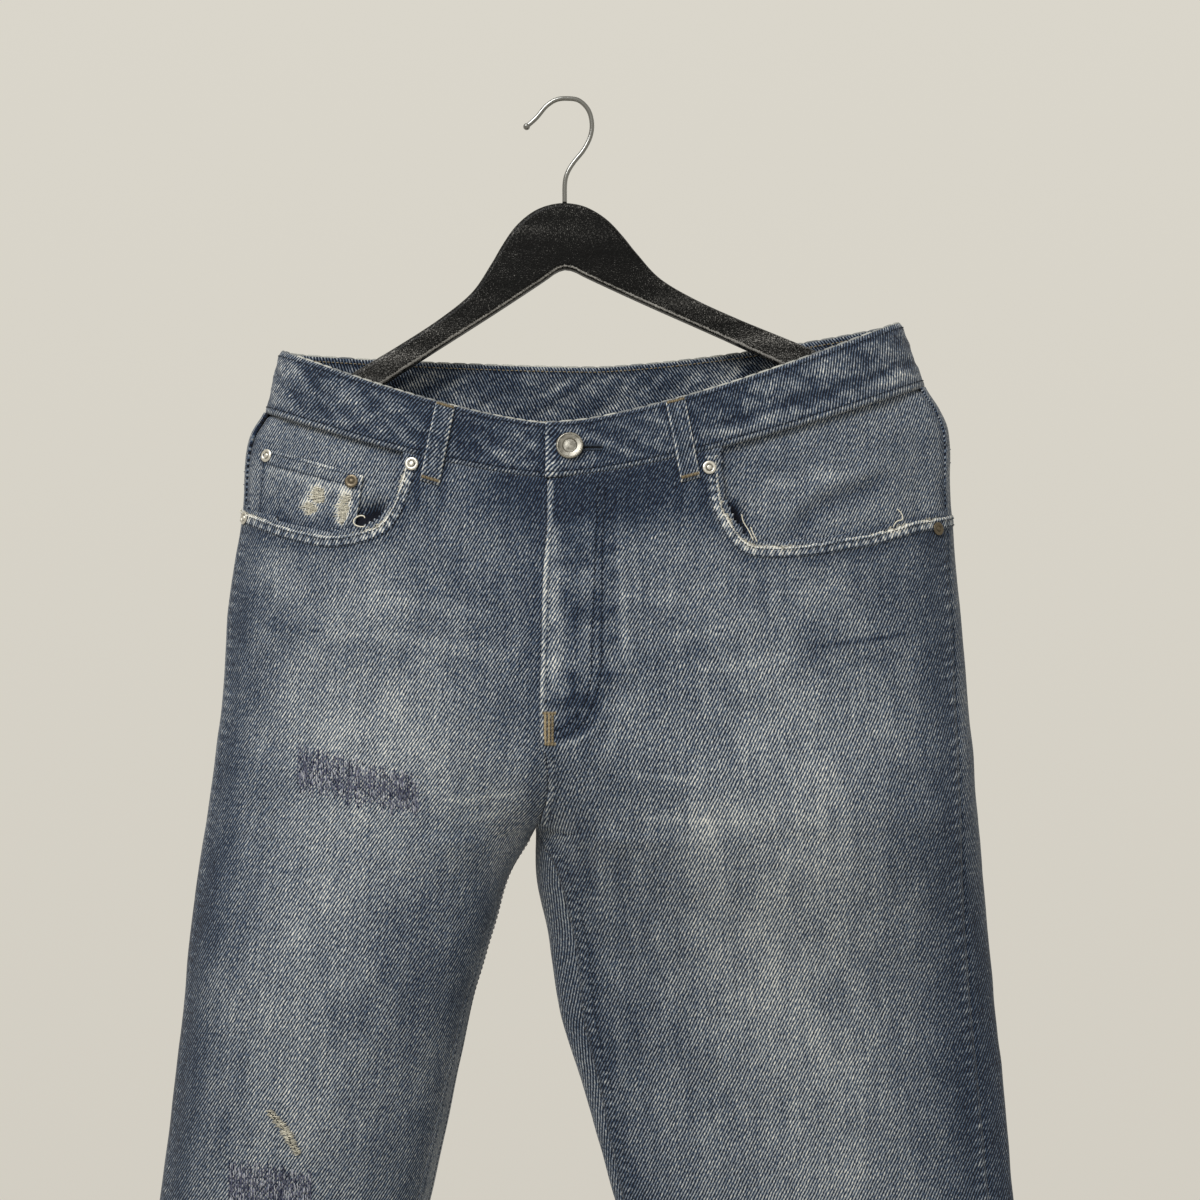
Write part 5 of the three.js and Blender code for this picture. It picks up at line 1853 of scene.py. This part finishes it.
@dataclass(frozen=True)
class Fly:
    """The folded fly edge with its J of double stitching, its bars and the crotch seam below."""

    edge: Stations = (
        (-9.8, -262), (-9.9, -290), (-12.4, -328), (-13.3, -372), (-14.1, -412), (-13, -433),
        (-9, -440), (-8.4, -452), (-10, -467), (-14.2, -486),
    )
    outer_j: Stations = (
        (26.5, -266), (24.5, -302), (24.1, -347.6), (23.5, -384.5), (21.1, -396), (14.9, -413),
        (6, -422.5), (-5.4, -427.6),
    )
    inner_j: Stations = (
        (21.2, -266), (20.4, -298.6), (17.9, -359.8), (17.1, -388), (15.0, -399), (10, -410.5),
        (2.5, -418.4), (-6.4, -422.4),
    )
    crotch: Stations = (
        (-4.6, -441), (-4.2, -452), (-5.6, -468), (-9.4, -485),
    )
    edge_row: Stations = (
        (-9.6, -280), (-10.6, -328), (-11.3, -372), (-12, -408),
    )
    bar_x: float = -11.8
    thickness: float = 1.2

    def build(self, left: ClothSide, finishes: Finishes) -> None:
        """Makes the edge roll, the stitches and the bars.

        Args:
            left: The wearer's left side, which laps over the right.
            finishes: The finishes.
        """
        line = smooth_line(self.edge, 1.0)
        across = np.array([-1.3, -1.1, -0.6, 0.0, 0.8, 1.6, 2.6, 3.4])
        lift = np.array([-1.6, -0.4, 0.35, 0.65, 0.6, 0.45, 0.3, -0.5])[:, None]
        fade = np.interp(line[:, 1], [-486, -470, -300, -262], [0.3, 0.8, 1.0, 1.0])
        spots = line[None] + np.stack([across, across * 0], axis=1)[:, None]
        place = left.seek(spots)
        normals = sample(left.normals, place)
        outer = left.at(place)
        outer[..., 0] = spots[..., 0]
        wave = 0.25 * lattice_noise(line[:, 1], line[:, 0] * 0, 6, 61)
        outer = outer + normals * (lift * fade + wave)[..., None]
        inner = outer - normals * self.thickness
        ruffle = lattice_noise(spots[..., 0], spots[..., 1], 4, 62)
        high = np.interp(line[:, 1], [-486, -436, -410, -396, -300, -262],
                         [0.06, 0.10, 0.20, 0.34, 0.34, 0.12])
        wear_and_shade = 0.28 + high * bell(across - 0.1, 1.8)[:, None] + 0.10 * ruffle
        uv = np.stack([spots[..., 0], spots[..., 1]], axis=-1) * MM
        piece = shell("fly_edge", outer, inner, uv, wear_and_shade)
        dress(piece, finishes.denim, "denim")
        threads, bars = MeshParts(), MeshParts()
        for path in (self.outer_j, self.inner_j):
            left.sew_along(threads, path, Stitch(3.1, 2.2, 0.38), 0.1)
        left.sew_along(threads, self.crotch, Stitch(2.9, 2.2, 0.3), 0.65)
        left.sew_along(threads, self.edge_row, Stitch(3.0, 2.2, 0.2), 0.4)
        for shift, shade in ((0.0, 1.1), (2.4, 0.9), (4.6, 0.5)):
            for z in np.arange(-411, -431, -0.62):
                x = self.bar_x + shift
                spots = np.array([[x - 0.9, z - 0.35], [x, z], [x + 0.9, z + 0.35]])
                points = left.sheet_at(spots, np.array([0.5, 0.95, 0.5]))
                bars.add(*tube(points, 0.3), shade + 0.22 * math.sin(z * 3))
        for z in (-411, -430.5):
            for k in range(12):
                x = -13.2 + k * 0.72
                spots = np.array([[x, z - 1.1], [x, z], [x, z + 1.1]])
                points = left.sheet_at(spots, np.array([0.5, 1.1, 0.5]))
                bars.add(*tube(points, 0.3), 0.35 + 0.2 * (k % 3))
        dress(threads.piece("fly_stitches"), finishes.navy_thread, "denim")
        dress(bars.piece("fly_bars"), finishes.ochre_thread, "denim")


@dataclass(frozen=True)
class SeamStitches:
    """The long rows of stitches: the felled inseams, the outseams, the yokes and the seat."""

    def build(self, cloth: ClothSide, finishes: Finishes) -> None:
        """Sews one side's long seams.

        Args:
            cloth: The side's cloth.
            finishes: The finishes.
        """
        threads = MeshParts()
        stitch = Stitch(3.4, 2.6, 0.3)
        is_left = cloth.side is Side.LEFT
        hip = BAND_ROWS + 22
        cloth.sew_down(threads, FRONT_COLUMNS - 0.9, (hip, hip + 46), stitch, 0.5)
        leg = (cloth.first_leg + 2, len(cloth.base) - 8)
        column_width = float(cloth.from_inner[cloth.first_leg + 60, 1])
        for away in (2.0, 8.6):
            columns = away / column_width
            cloth.sew_down(threads, columns if is_left else ALL_COLUMNS - columns, leg, stitch, 0.4)
        for below in (0.8, 4.0):
            columns = np.linspace(FRONT_COLUMNS + 3, ALL_COLUMNS - 0.5, 400)
            row = BAND_ROWS + Panels().yoke_rows + below
            cloth.sew(threads, np.stack([np.full(len(columns), row), columns], axis=1), stitch, 0.45)
        for away in (1.4, 4.4) if is_left else ():
            cloth.sew_down(threads, ALL_COLUMNS - away, (BAND_ROWS + 1, cloth.first_leg), stitch, 0.45)
        dress(threads.piece(f"seam_stitches_{cloth.side.word}"), finishes.navy_thread, "denim")


BACK_POCKETS = {
    Side.RIGHT: ((-166, -282), (-24, -290), (-152, -436), (-36, -442)),
    Side.LEFT: ((52, -290), (206, -278), (66, -442), (192, -434)),
}


@dataclass(frozen=True)
class BackPocket:
    """A patch pocket on the seat, with a pointed foot and a stitched double edge."""

    cells: int = 70
    width: float = 130.0
    side_height: float = 140.0
    height: float = 145.0
    point: float = 15.0
    lift: float = 2.2

    def build(self, cloth: ClothSide, finishes: Finishes) -> None:
        """Makes one side's back pocket.

        Args:
            cloth: The side's cloth.
            finishes: The finishes.
        """
        word = cloth.side.word
        corners = [np.array(c, float) for c in BACK_POCKETS[cloth.side]]
        s = np.linspace(0, 1, self.cells + 1)[None, :, None]
        t = np.linspace(0, 1, self.cells + 1)[:, None, None]
        top_left, top_right, low_left, low_right = corners
        spots = (top_left * (1 - s) + top_right * s) * (1 - t) + (low_left * (1 - s) + low_right * s) * t
        spots[..., 1] += (self.point * (np.abs(2 * s - 1) - 0.35) * t ** 3)[..., 0]
        place = cloth.seek(spots, False)
        normals = sample(cloth.normals, place)
        edge = np.minimum(np.minimum(s, 1 - s)[..., 0] * self.width, (1 - t)[..., 0] * self.side_height)
        top = t[..., 0] * self.height + 0 * s[..., 0]
        x, z = spots[..., 0], spots[..., 1]
        rumple = lattice_noise(x, z, 26, 14 + cloth.side.value)
        lift = self.lift + 0.9 * step(edge, 4, 30) * step(top, 0, 30) + 0.4 * rumple * step(edge, 2, 20)
        lift = lift + 0.7 * step(top, 15, 13) - 0.35 * bell(edge - 8.4, 1.2) - 0.35 * bell(edge - 2.2, 1.0)
        outer = cloth.at(place, lift)
        inner = outer - normals * TRIM
        wear_and_shade = 0.46 + 0.10 * rumple + 0.36 * bell(edge, 1.4) + 0.4 * bell(top, 1.8)
        # The dark line just under the top hem is painted shade below its raised edge.
        wear_and_shade = wear_and_shade - 0.12 * bell(edge - 5.2, 2) - 0.12 * bell(top - 16, 2)
        uv = np.stack([-x, z], axis=-1) * MM + 0.11
        piece = shell(f"back_pocket_{word}_cloth", outer, inner, uv, wear_and_shade)
        dress(piece, finishes.denim, "denim", f"back_pocket_{word}")
        declare_sheet(piece, outer)
        threads = MeshParts()
        stitch = Stitch(3.2, 2.5, 0.3)
        paths = []
        for away in (2.2, 8.4):
            column, row = away / self.width * self.cells, self.cells - away / self.side_height * self.cells
            paths.append(np.array([[r, column] for r in np.linspace(0.5, row, 90)]))
            paths.append(np.array([[row, c] for c in np.linspace(column, self.cells - column, 90)]))
            paths.append(np.array([[r, self.cells - column] for r in np.linspace(row, 0.5, 90)]))
        for away in (3.0, 12.5):
            row = away / self.height * self.cells
            paths.append(np.array([[row, c] for c in np.linspace(0.5, self.cells - 0.5, 120)]))
        for path in paths:
            stitch.sew(threads, sample(outer, path), unit(sample(normals, path)), 0.5)
        dress(threads.piece(f"back_pocket_stitches_{word}"), finishes.navy_thread, "denim")


@dataclass(frozen=True)
class LegHem:
    """The turned hem at the foot of a leg, roped by washing."""

    rows: int = 8
    thickness: float = 3.0
    rope_pitch: float = 13.0

    def build(self, cloth: ClothSide, finishes: Finishes) -> None:
        """Makes one leg's hem and its row of stitches.

        Args:
            cloth: The side's cloth.
            finishes: The finishes.
        """
        word = cloth.side.word
        levels = [Level.leg(cloth.form, z) for z in np.linspace(HEM_Z + HEM_HEIGHT, HEM_Z, self.rows + 1)]
        base = np.stack([level.ring(FRONT_COLUMNS, BACK_COLUMNS)[:-1] for level in levels])
        across = unit(np.roll(base, -1, axis=1) - np.roll(base, 1, axis=1))
        normals = unit(np.cross(across, unit(np.gradient(base, axis=0)))) * -cloth.side.value
        last = sample(cloth.relief, np.stack([np.full(base.shape[1], len(cloth.base) - 6.0),
                                              np.arange(base.shape[1], dtype=float)], axis=1))
        run = np.concatenate([[0], np.cumsum(np.linalg.norm(np.diff(base[0], axis=0), axis=1))])[None]
        t = np.linspace(0, 1, self.rows + 1)[:, None]
        drift = 2 * lattice_noise(run, run * 0, 40, 83)
        rope = np.sin((run + 22 * t) * 2 * math.pi / self.rope_pitch + drift)
        relief = last[None] + 1.0 + 0.5 * rope * step(t, 0, 0.4)
        relief = relief - 1.0 * bell(t, 0.08) - 0.9 * bell(1 - t, 0.09)
        outer = base + normals * relief[..., None]
        inner = outer - normals * self.thickness
        wear_and_shade = 0.38 + 0.16 * rope + 0.34 * bell(1 - t, 0.16) - 0.08 * bell(t - 0.25, 0.1)
        wear_and_shade = wear_and_shade + 0.08 * lattice_noise(run + 0 * t, t * 14, 5, 84)
        uv = np.stack([np.broadcast_to(run, relief.shape), base[..., 2]], axis=-1) * MM
        piece = shell(f"hem_{word}_cloth", outer, inner, uv, wear_and_shade, closed=True)
        dress(piece, finishes.denim, "denim_dark", f"hem_{word}")
        closing = np.concatenate([outer, outer[:, :1]], axis=1)
        declare_sheet(piece, closing)
        threads = MeshParts()
        line, out = row_line(closing, np.concatenate([normals, normals[:, :1]], axis=1), 1.4)
        Stitch(3.6, 2.8, 0.32).sew(threads, line, out, 0.4)
        dress(threads.piece(f"hem_stitches_{word}"), finishes.navy_thread, "denim_dark")


@dataclass(frozen=True)
class Darn:
    """A place darned by machine: close rows of thread run up and down over the cloth."""

    name: str
    middle: tuple[float, float]
    size: tuple[float, float]
    tilt: float
    seed: int

    def build(self, cloth: ClothSide, finishes: Finishes) -> None:
        """Makes the darning threads.

        Args:
            cloth: The side that is darned.
            finishes: The finishes.
        """
        rng = np.random.default_rng(self.seed)
        parts, pale = MeshParts(), MeshParts()
        width, height = self.size
        slope = math.tan(math.radians(self.tilt))
        spots, shades = [], []
        x = -width / 2
        while x < width / 2:
            top = height / 2 + rng.uniform(-3.2, 3.2)
            low = -height / 2 + rng.uniform(-3.8, 3.8)
            for run_low, run_high in ((low, top), (low + rng.uniform(2, 9), top - rng.uniform(2, 9))):
                z = run_high
                while z > run_low:
                    shown = rng.uniform(2.8, 5.4)
                    path = np.linspace(z, max(z - shown, run_low - 1), 4)
                    drift = rng.uniform(-0.25, 0.25)
                    spots.extend([self.middle[0] + x + drift + rng.uniform(-0.1, 0.1),
                                  self.middle[1] + p + x * slope] for p in path)
                    shades.append(rng.uniform(0.0, 1.0))
                    z -= shown + rng.uniform(0.25, 0.7)
            x += rng.uniform(0.75, 1.35)
        points = cloth.sheet_at(np.array(spots).reshape(-1, 4, 2), np.array([0.0, 0.38, 0.38, 0.0]))
        for line, shade in zip(points, shades, strict=True):
            target = pale if shade > 0.80 else parts
            target.add(*tube(line, rng.uniform(0.24, 0.36)), shade)
        dress(parts.piece(self.name), finishes.darning, "denim")
        dress(pale.piece(f"{self.name}_pale"), finishes.raw_cotton_dull, "denim")


@dataclass(frozen=True)
class Tear:
    """A short torn place: loose cream weft yarns over a near-black tube of painted shade in the slit."""

    path: Stations = (
        (-184, -658), (-179, -664), (-173, -671), (-170, -678), (-165.5, -685),
    )

    def build(self, cloth: ClothSide, finishes: Finishes) -> None:
        """Makes the tube of painted shade in the slit and the yarns over it.

        Args:
            cloth: The side that is torn.
            finishes: The finishes.
        """
        rng = np.random.default_rng(91)
        line = smooth_line(np.array(self.path), 0.7)
        shade_slit, yarns = MeshParts(), MeshParts()
        shade_slit.add(*tube(cloth.sheet_at(line, 0.15), 1.5), 0.0)
        for k in range(len(line)):
            for _ in range(4):
                away = rng.uniform(-1.5, 1.5)
                reach = rng.uniform(1.2, 4.2) * math.sin(math.pi * (0.12 + 0.76 * k / len(line)))
                tilt = rng.uniform(-0.4, 0.5)
                centre = line[k] + [away, rng.uniform(-0.8, 0.8)]
                spots = np.stack([centre - [reach, reach * tilt], centre, centre + [reach, reach * tilt]])
                points = cloth.sheet_at(spots, np.array([0.3, rng.uniform(0.9, 2.0), 0.4]))
                yarns.add(*tube(points, rng.uniform(0.16, 0.3)), rng.uniform(0.3, 1.0))
        dress(shade_slit.piece("tear_painted_shade"), finishes.shade_slit, "denim")
        dress(yarns.piece("tear_yarns"), finishes.raw_cotton, "denim")


# ---------------------------------------------------------------- hard pieces
def select_none() -> None:
    """Deselects every object."""
    bpy.ops.object.select_all(action="DESELECT")


def select_only(obj: bpy.types.Object) -> None:
    """Selects one object and makes it the active one."""
    select_none()
    obj.select_set(True)
    bpy.context.view_layer.objects.active = obj


def at_origin(obj: bpy.types.Object) -> bpy.types.Object:
    """Applies an object's place, turn and size to its mesh, smooths its faces, and returns it."""
    select_only(obj)
    bpy.ops.object.transform_apply(location=True, rotation=True, scale=True)
    obj.data.polygons.foreach_set("use_smooth", np.ones(len(obj.data.polygons), bool))
    return obj


def apply_modifiers(obj: bpy.types.Object) -> None:
    """Applies every modifier of an object."""
    select_only(obj)
    for modifier in list(obj.modifiers):
        bpy.ops.object.modifier_apply(modifier=modifier.name)


@dataclass(frozen=True)
class Ring:
    """One step of a turned face: inset by this much, then pushed along the axis by that much."""

    inset: float
    push: float


@dataclass(frozen=True)
class Turned:
    """A small stamped metal piece, made from a disc whose top face is stepped inwards."""

    name: str
    spot: tuple[float, float]
    lift: float
    radius: float
    rim: float
    rings: tuple[Ring, ...]
    slot: str = "antique_silver"

    def build(self, cloth: ClothSide, material: bpy.types.Material, seat: np.ndarray | None = None) -> None:
        """Makes the piece on the cloth.

        Args:
            cloth: The side it sits on.
            material: Its finish.
            seat: The seat's point, where it isn't the cloth's own face.
        """
        place = cloth.seek(np.array([self.spot]))
        normal = unit(sample(cloth.normals, place))[0]
        point = seat if seat is not None else sample(cloth.base, place)[0]
        centre = (point + normal * (self.lift + self.rim / 2)) * MM
        select_none()
        bpy.ops.mesh.primitive_cylinder_add(vertices=48, radius=self.radius * MM, depth=self.rim * MM)
        obj = bpy.context.active_object
        obj.name = obj.data.name = f"{self.name}_metal"
        bpy.ops.object.mode_set(mode="EDIT")
        bpy.ops.mesh.select_mode(type="FACE")
        bpy.ops.mesh.select_all(action="DESELECT")
        bpy.ops.object.mode_set(mode="OBJECT")
        for face in obj.data.polygons:
            face.select = face.normal.z > 0.9
        bpy.ops.object.mode_set(mode="EDIT")
        for ring in self.rings:
            bpy.ops.mesh.inset(thickness=ring.inset * MM)
            if ring.push:
                bpy.ops.transform.translate(value=(0, 0, ring.push * MM))
        bpy.ops.object.mode_set(mode="OBJECT")
        bevel = obj.modifiers.new("soft_edges", "BEVEL")
        bevel.width, bevel.segments, bevel.limit_method = 0.16 * MM, 2, "ANGLE"
        apply_modifiers(obj)
        obj.rotation_mode = "QUATERNION"
        obj.rotation_quaternion = Vector(tuple(normal)).to_track_quat("Z", "Y")
        obj.location = tuple(centre)
        at_origin(obj)
        dress(obj, material, self.slot, self.name)


BUTTON_RINGS = (Ring(0.7, 0.55), Ring(0.35, 0.1), Ring(0.3, -0.3), Ring(2.5, -0.12),
                Ring(0.4, -0.42), Ring(0.35, -0.25), Ring(1.6, 0.18), Ring(1.0, 0.12))
RIVET_RINGS = (Ring(0.5, 0.3), Ring(0.5, 0.15), Ring(0.6, -0.05), Ring(0.6, -0.6),
               Ring(0.35, -0.25), Ring(0.3, 0.65), Ring(0.4, 0.25))
WORN_RINGS = (Ring(0.6, 0.2), Ring(0.5, 0.12), Ring(0.7, -0.1), Ring(0.6, -0.3),
              Ring(0.4, -0.1), Ring(0.3, 0.35), Ring(0.4, 0.15))


@dataclass(frozen=True)
class Hanger:
    """The black wooden board: a bowed top, a flat lower V and softly rounded arrises."""

    apex: tuple[float, float] = (-1.0, -114.0)
    tilt: float = 4.3
    reach: float = 204.0
    thick: float = 12.0
    rounding: float = 3.4
    top: Stations = (
        (0, 44), (12, 42.2), (22, 37.6), (32, 29.6), (41, 18.5), (50, 5.5), (64, -12), (86, -27.5),
        (115, -43.5), (152, -62), (180, -76.5), (192, -83),
    )
    low: Stations = (
        (193, -105), (150, -81.5), (100, -54), (52, -28.2), (16, -8.2), (6, -2.2), (0, -0.6),
    )

    def outline(self) -> np.ndarray:
        """The board's outline in its own frame, all the way round."""
        crown = np.concatenate([np.array(self.top[::-1][:-1]) * [-1, 1], np.array(self.top)])
        upper = smooth_line(crown, 3.0)
        tip = np.array([[self.reach - 3, -89], [self.reach - 0.8, -92], [self.reach, -96],
                        [self.reach - 0.8, -99.5], [self.reach - 3, -102.5]])
        right = smooth_line(np.array(self.low), 4.0)
        left = right[::-1][1:] * [-1, 1]
        return np.concatenate([upper, tip, right, left, tip[::-1] * [-1, 1]])

    def build(self, finishes: Finishes) -> None:
        """Makes the board.

        Args:
            finishes: The finishes.
        """
        outline = self.outline()
        turn = math.radians(self.tilt)
        x = outline[:, 0] * math.cos(turn) - outline[:, 1] * math.sin(turn) + self.apex[0]
        z = outline[:, 0] * math.sin(turn) + outline[:, 1] * math.cos(turn) + self.apex[1]
        select_none()
        bpy.ops.mesh.primitive_circle_add(vertices=len(outline), radius=0.2, fill_type="NGON")
        obj = bpy.context.active_object
        obj.name = obj.data.name = "hanger_board"
        flat = np.stack([x, np.full(len(x), -self.thick / 2), z], axis=1) * MM
        obj.data.vertices.foreach_set("co", flat.astype(np.float32).ravel())
        obj.data.update()
        bpy.ops.object.mode_set(mode="EDIT")
        bpy.ops.mesh.select_all(action="SELECT")
        bpy.ops.mesh.extrude_region_move(TRANSFORM_OT_translate={"value": (0, self.thick * MM, 0)})
        bpy.ops.mesh.select_all(action="SELECT")
        bpy.ops.mesh.normals_make_consistent(inside=False)
        bpy.ops.object.mode_set(mode="OBJECT")
        bevel = obj.modifiers.new("rounded_arris", "BEVEL")
        bevel.width, bevel.segments, bevel.limit_method = self.rounding * MM, 6, "ANGLE"
        bevel.angle_limit = math.radians(60)
        bevel.use_clamp_overlap = False
        apply_modifiers(obj)
        at_origin(obj)
        obj.data.update()
        bpy.ops.mesh.customdata_custom_splitnormals_clear()
        weighted = obj.modifiers.new("flat_faces", "WEIGHTED_NORMAL")
        weighted.keep_sharp = True
        weighted.weight = 90
        apply_modifiers(obj)
        dress(obj, finishes.wood, "stained_wood", "hanger_body")


@dataclass(frozen=True)
class Hook:
    """The bent wire hook, with a small ball at its free end and its shank in the board."""

    radius: float = 1.6
    ball: float = 2.35
    ball_place: tuple[float, float, float] = (-26.8, 0.0, -17.5)
    sides: int = 16
    line: Stations = (
        (-26.5, -17.2), (-20, -11.3), (-13.6, -3.7), (-7, 0.6), (0, 1.6), (8.6, 0.3), (15.1, -6.2),
        (17.5, -15.2), (16.4, -24.3), (11.8, -33.5), (5.5, -41.3), (1.2, -48.2), (-0.8, -55.6),
        (-1, -69.6),
    )

    def build(self, finishes: Finishes) -> None:
        """Makes the wire and the ball at its end.

        Args:
            finishes: The finishes.
        """
        line = smooth_line(np.array(self.line), 1.5)
        points = np.stack([line[:, 0], np.zeros(len(line)), line[:, 1]], axis=1)
        along = unit(np.gradient(points, axis=0))
        aside = np.array([0.0, 1.0, 0.0])
        up = np.cross(along, aside)
        angle = np.arange(self.sides) * 2 * math.pi / self.sides
        rings = points[:, None] + self.radius * (up[:, None] * np.cos(angle)[None, :, None]
                                                + aside * np.sin(angle)[None, :, None])
        wire = make_piece("hook_wire", rings.reshape(-1, 3), ring_faces(len(points), self.sides)[:-2])
        select_only(wire)
        bpy.ops.object.mode_set(mode="EDIT")
        bpy.ops.mesh.select_mode(type="EDGE")
        bpy.ops.mesh.select_all(action="DESELECT")
        bpy.ops.mesh.select_non_manifold()
        bpy.ops.mesh.edge_face_add()
        bpy.ops.mesh.select_all(action="SELECT")
        bpy.ops.mesh.normals_make_consistent(inside=False)
        bpy.ops.object.mode_set(mode="OBJECT")
        dress(wire, finishes.steel, "steel_wire", "hanger_hook")
        select_none()
        bpy.ops.mesh.primitive_uv_sphere_add(segments=32, ring_count=16, radius=self.ball * MM,
                                             location=[side * MM for side in self.ball_place])
        ball = at_origin(bpy.context.active_object)
        ball.name = ball.data.name = "hook_ball"
        dress(ball, finishes.steel, "steel_wire")


# ---------------------------------------------------------------- stage
@dataclass(frozen=True)
class Stage:
    """A pale floor, a pale surrounding and soft light from above and in front, in metres."""

    floor_z: float = -1.54
    floor_size: float = 3.2
    eye: tuple[float, float, float] = (0.023, -1.175, -0.339)
    lens: float = 51.9

    def build(self) -> None:
        """Makes the floor, the lights, the world and the camera."""
        select_none()
        bpy.ops.mesh.primitive_plane_add(size=self.floor_size, location=(0, 0, self.floor_z))
        floor = bpy.context.active_object
        floor.name = "floor"
        floor.data.materials.append(PaintedFloor().make())
        self.light("soft_top", (-0.9, -1.7, 1.5), (0.05, 0, -0.55), 1.1, 50, "ffffff")
        self.light("soft_front", (0.5, -3.2, 0.1), (0.0, 0, -0.5), 3.2, 6, "fbfbff")
        self.light("soft_back", (0.6, 2.6, 0.8), (0, 0, -0.5), 2.6, 14, "ffffff")
        self.world()
        self.camera()
        bpy.context.scene.view_settings.view_transform = "Standard"

    def light(self, name: str, place: tuple[float, float, float], aim: tuple[float, float, float],
              size: float, watts: float, code: str) -> None:
        """Adds one square soft light.

        Args:
            name: The light's name.
            place: Where it stands.
            aim: The point that it faces.
            size: The length of its sides.
            watts: Its power.
            code: Its colour.
        """
        lamp = bpy.data.lights.new(name, "AREA")
        lamp.energy, lamp.size, lamp.color = watts, size, linear(code)[:3]
        obj = bpy.data.objects.new(name, lamp)
        bpy.context.collection.objects.link(obj)
        obj.location = place
        obj.rotation_euler = (Vector(aim) - Vector(place)).to_track_quat("-Z", "Y").to_euler()

    def world(self) -> None:
        """A warm pale surrounding, a little darker low down."""
        world = bpy.data.worlds.new("pale_room")
        bpy.context.scene.world = world
        world.use_nodes = True
        tree = world.node_tree
        tree.nodes.clear()
        way = add_node(tree, "TexCoord").outputs["Generated"]
        rise = add_node(tree, "SeparateXYZ", {}, (way,)).outputs[2]
        level = add_node(tree, "Math", MULTIPLY_ADD, (rise, 0.5, 0.5)).outputs[0]
        stops = ((0.2, "cfcabf"), (0.75, "dcd8cd"))
        colour = add_node(tree, "ValToRGB", {"stops": stops}, (level,)).outputs["Color"]
        background = add_node(tree, "Background", {}, {"Color": colour, "Strength": 1.0})
        add_node(tree, "OutputWorld", {}, {"Surface": background.outputs[0]})

    def camera(self) -> None:
        """A level camera in front of the object."""
        data = bpy.data.cameras.new("camera")
        data.lens, data.sensor_width = self.lens, 36.0
        data.clip_start = 0.05
        obj = bpy.data.objects.new("camera", data)
        bpy.context.collection.objects.link(obj)
        obj.location = self.eye
        obj.rotation_euler = (math.pi / 2, 0, 0)
        bpy.context.scene.camera = obj


# ---------------------------------------------------------------- the whole
class Jeans:
    """The garment."""

    def __init__(self) -> None:
        """Lays out the cloth of both sides."""
        self.right, self.left = ClothSide(RIGHT_FORM), ClothSide(LEFT_FORM)
        self.right.settle(self.left)
        self.left.settle(self.right)

    def build(self, finishes: Finishes) -> None:
        """Makes every piece of the garment.

        Args:
            finishes: The finishes.
        """
        right, left = self.right, self.left
        band = Waistband()
        band.build(right, left, finishes)
        for cloth in (right, left):
            Panels().build(cloth, finishes)
            PocketFacing().build(cloth, finishes)
            SeamStitches().build(cloth, finishes)
            BackPocket().build(cloth, finishes)
            LegHem().build(cloth, finishes)
        worn_right = ((-214, -280, 13), (-121, -291, 8), (-104, -262, 6))
        worn_left = ((104, -284, 12), (120, -303, 10), (140, -304, 8), (215, -291, 9), (240, -285, 5))
        PocketHem(edge_wear=0.8).build(right, worn_right, finishes)
        PocketHem(edge_wear=0.9).build(left, worn_left, finishes)
        CoinPocket().build(right, finishes)
        Fly().build(left, finishes)
        for loop in FRONT_LOOPS + BACK_LOOPS:
            loop.build(right if loop.top < 0 else left, finishes, band)
        Darn("darn_hip", (-131.5, -455), (78, 24), -13, 5).build(right, finishes)
        Darn("darn_thigh", (-184, -709), (52, 30), -6, 6).build(right, finishes)
        Tear().build(right, finishes)
        Turned("waist_button", (3.5, -240), 3.2, 8.8, 1.6, BUTTON_RINGS).build(left, finishes.silver)
        for name, cloth, spot, lift, bronze in (
                ("rivet_right_outer", right, (-199, -243), -1.6, False),
                ("rivet_right_inner", right, (-98.8, -251), 1.2, False),
                ("rivet_coin", right, (-139, -261.5), -1.6, True),
                ("rivet_right_seam", right, (-213, -284.5), 1.0, False),
                ("rivet_left_inner", left, (93.6, -253.5), 1.2, False),
                ("rivet_left_seam", left, (246, -292), 1.2, True)):
            Turned(name, spot, lift, 4.4, 0.7, WORN_RINGS if bronze else RIVET_RINGS,
                   "antique_bronze" if bronze else "antique_silver").build(
                cloth, finishes.bronze if bronze else finishes.rubbed_silver)


def main() -> None:
    """Builds the object and the stage."""
    logging.basicConfig(level=logging.INFO, format="%(name)s: %(message)s")
    finishes = Finishes()
    Hanger().build(finishes)
    Jeans().build(finishes)
    Hook().build(finishes)
    Stage().build()


if __name__ == "__main__":
    main()
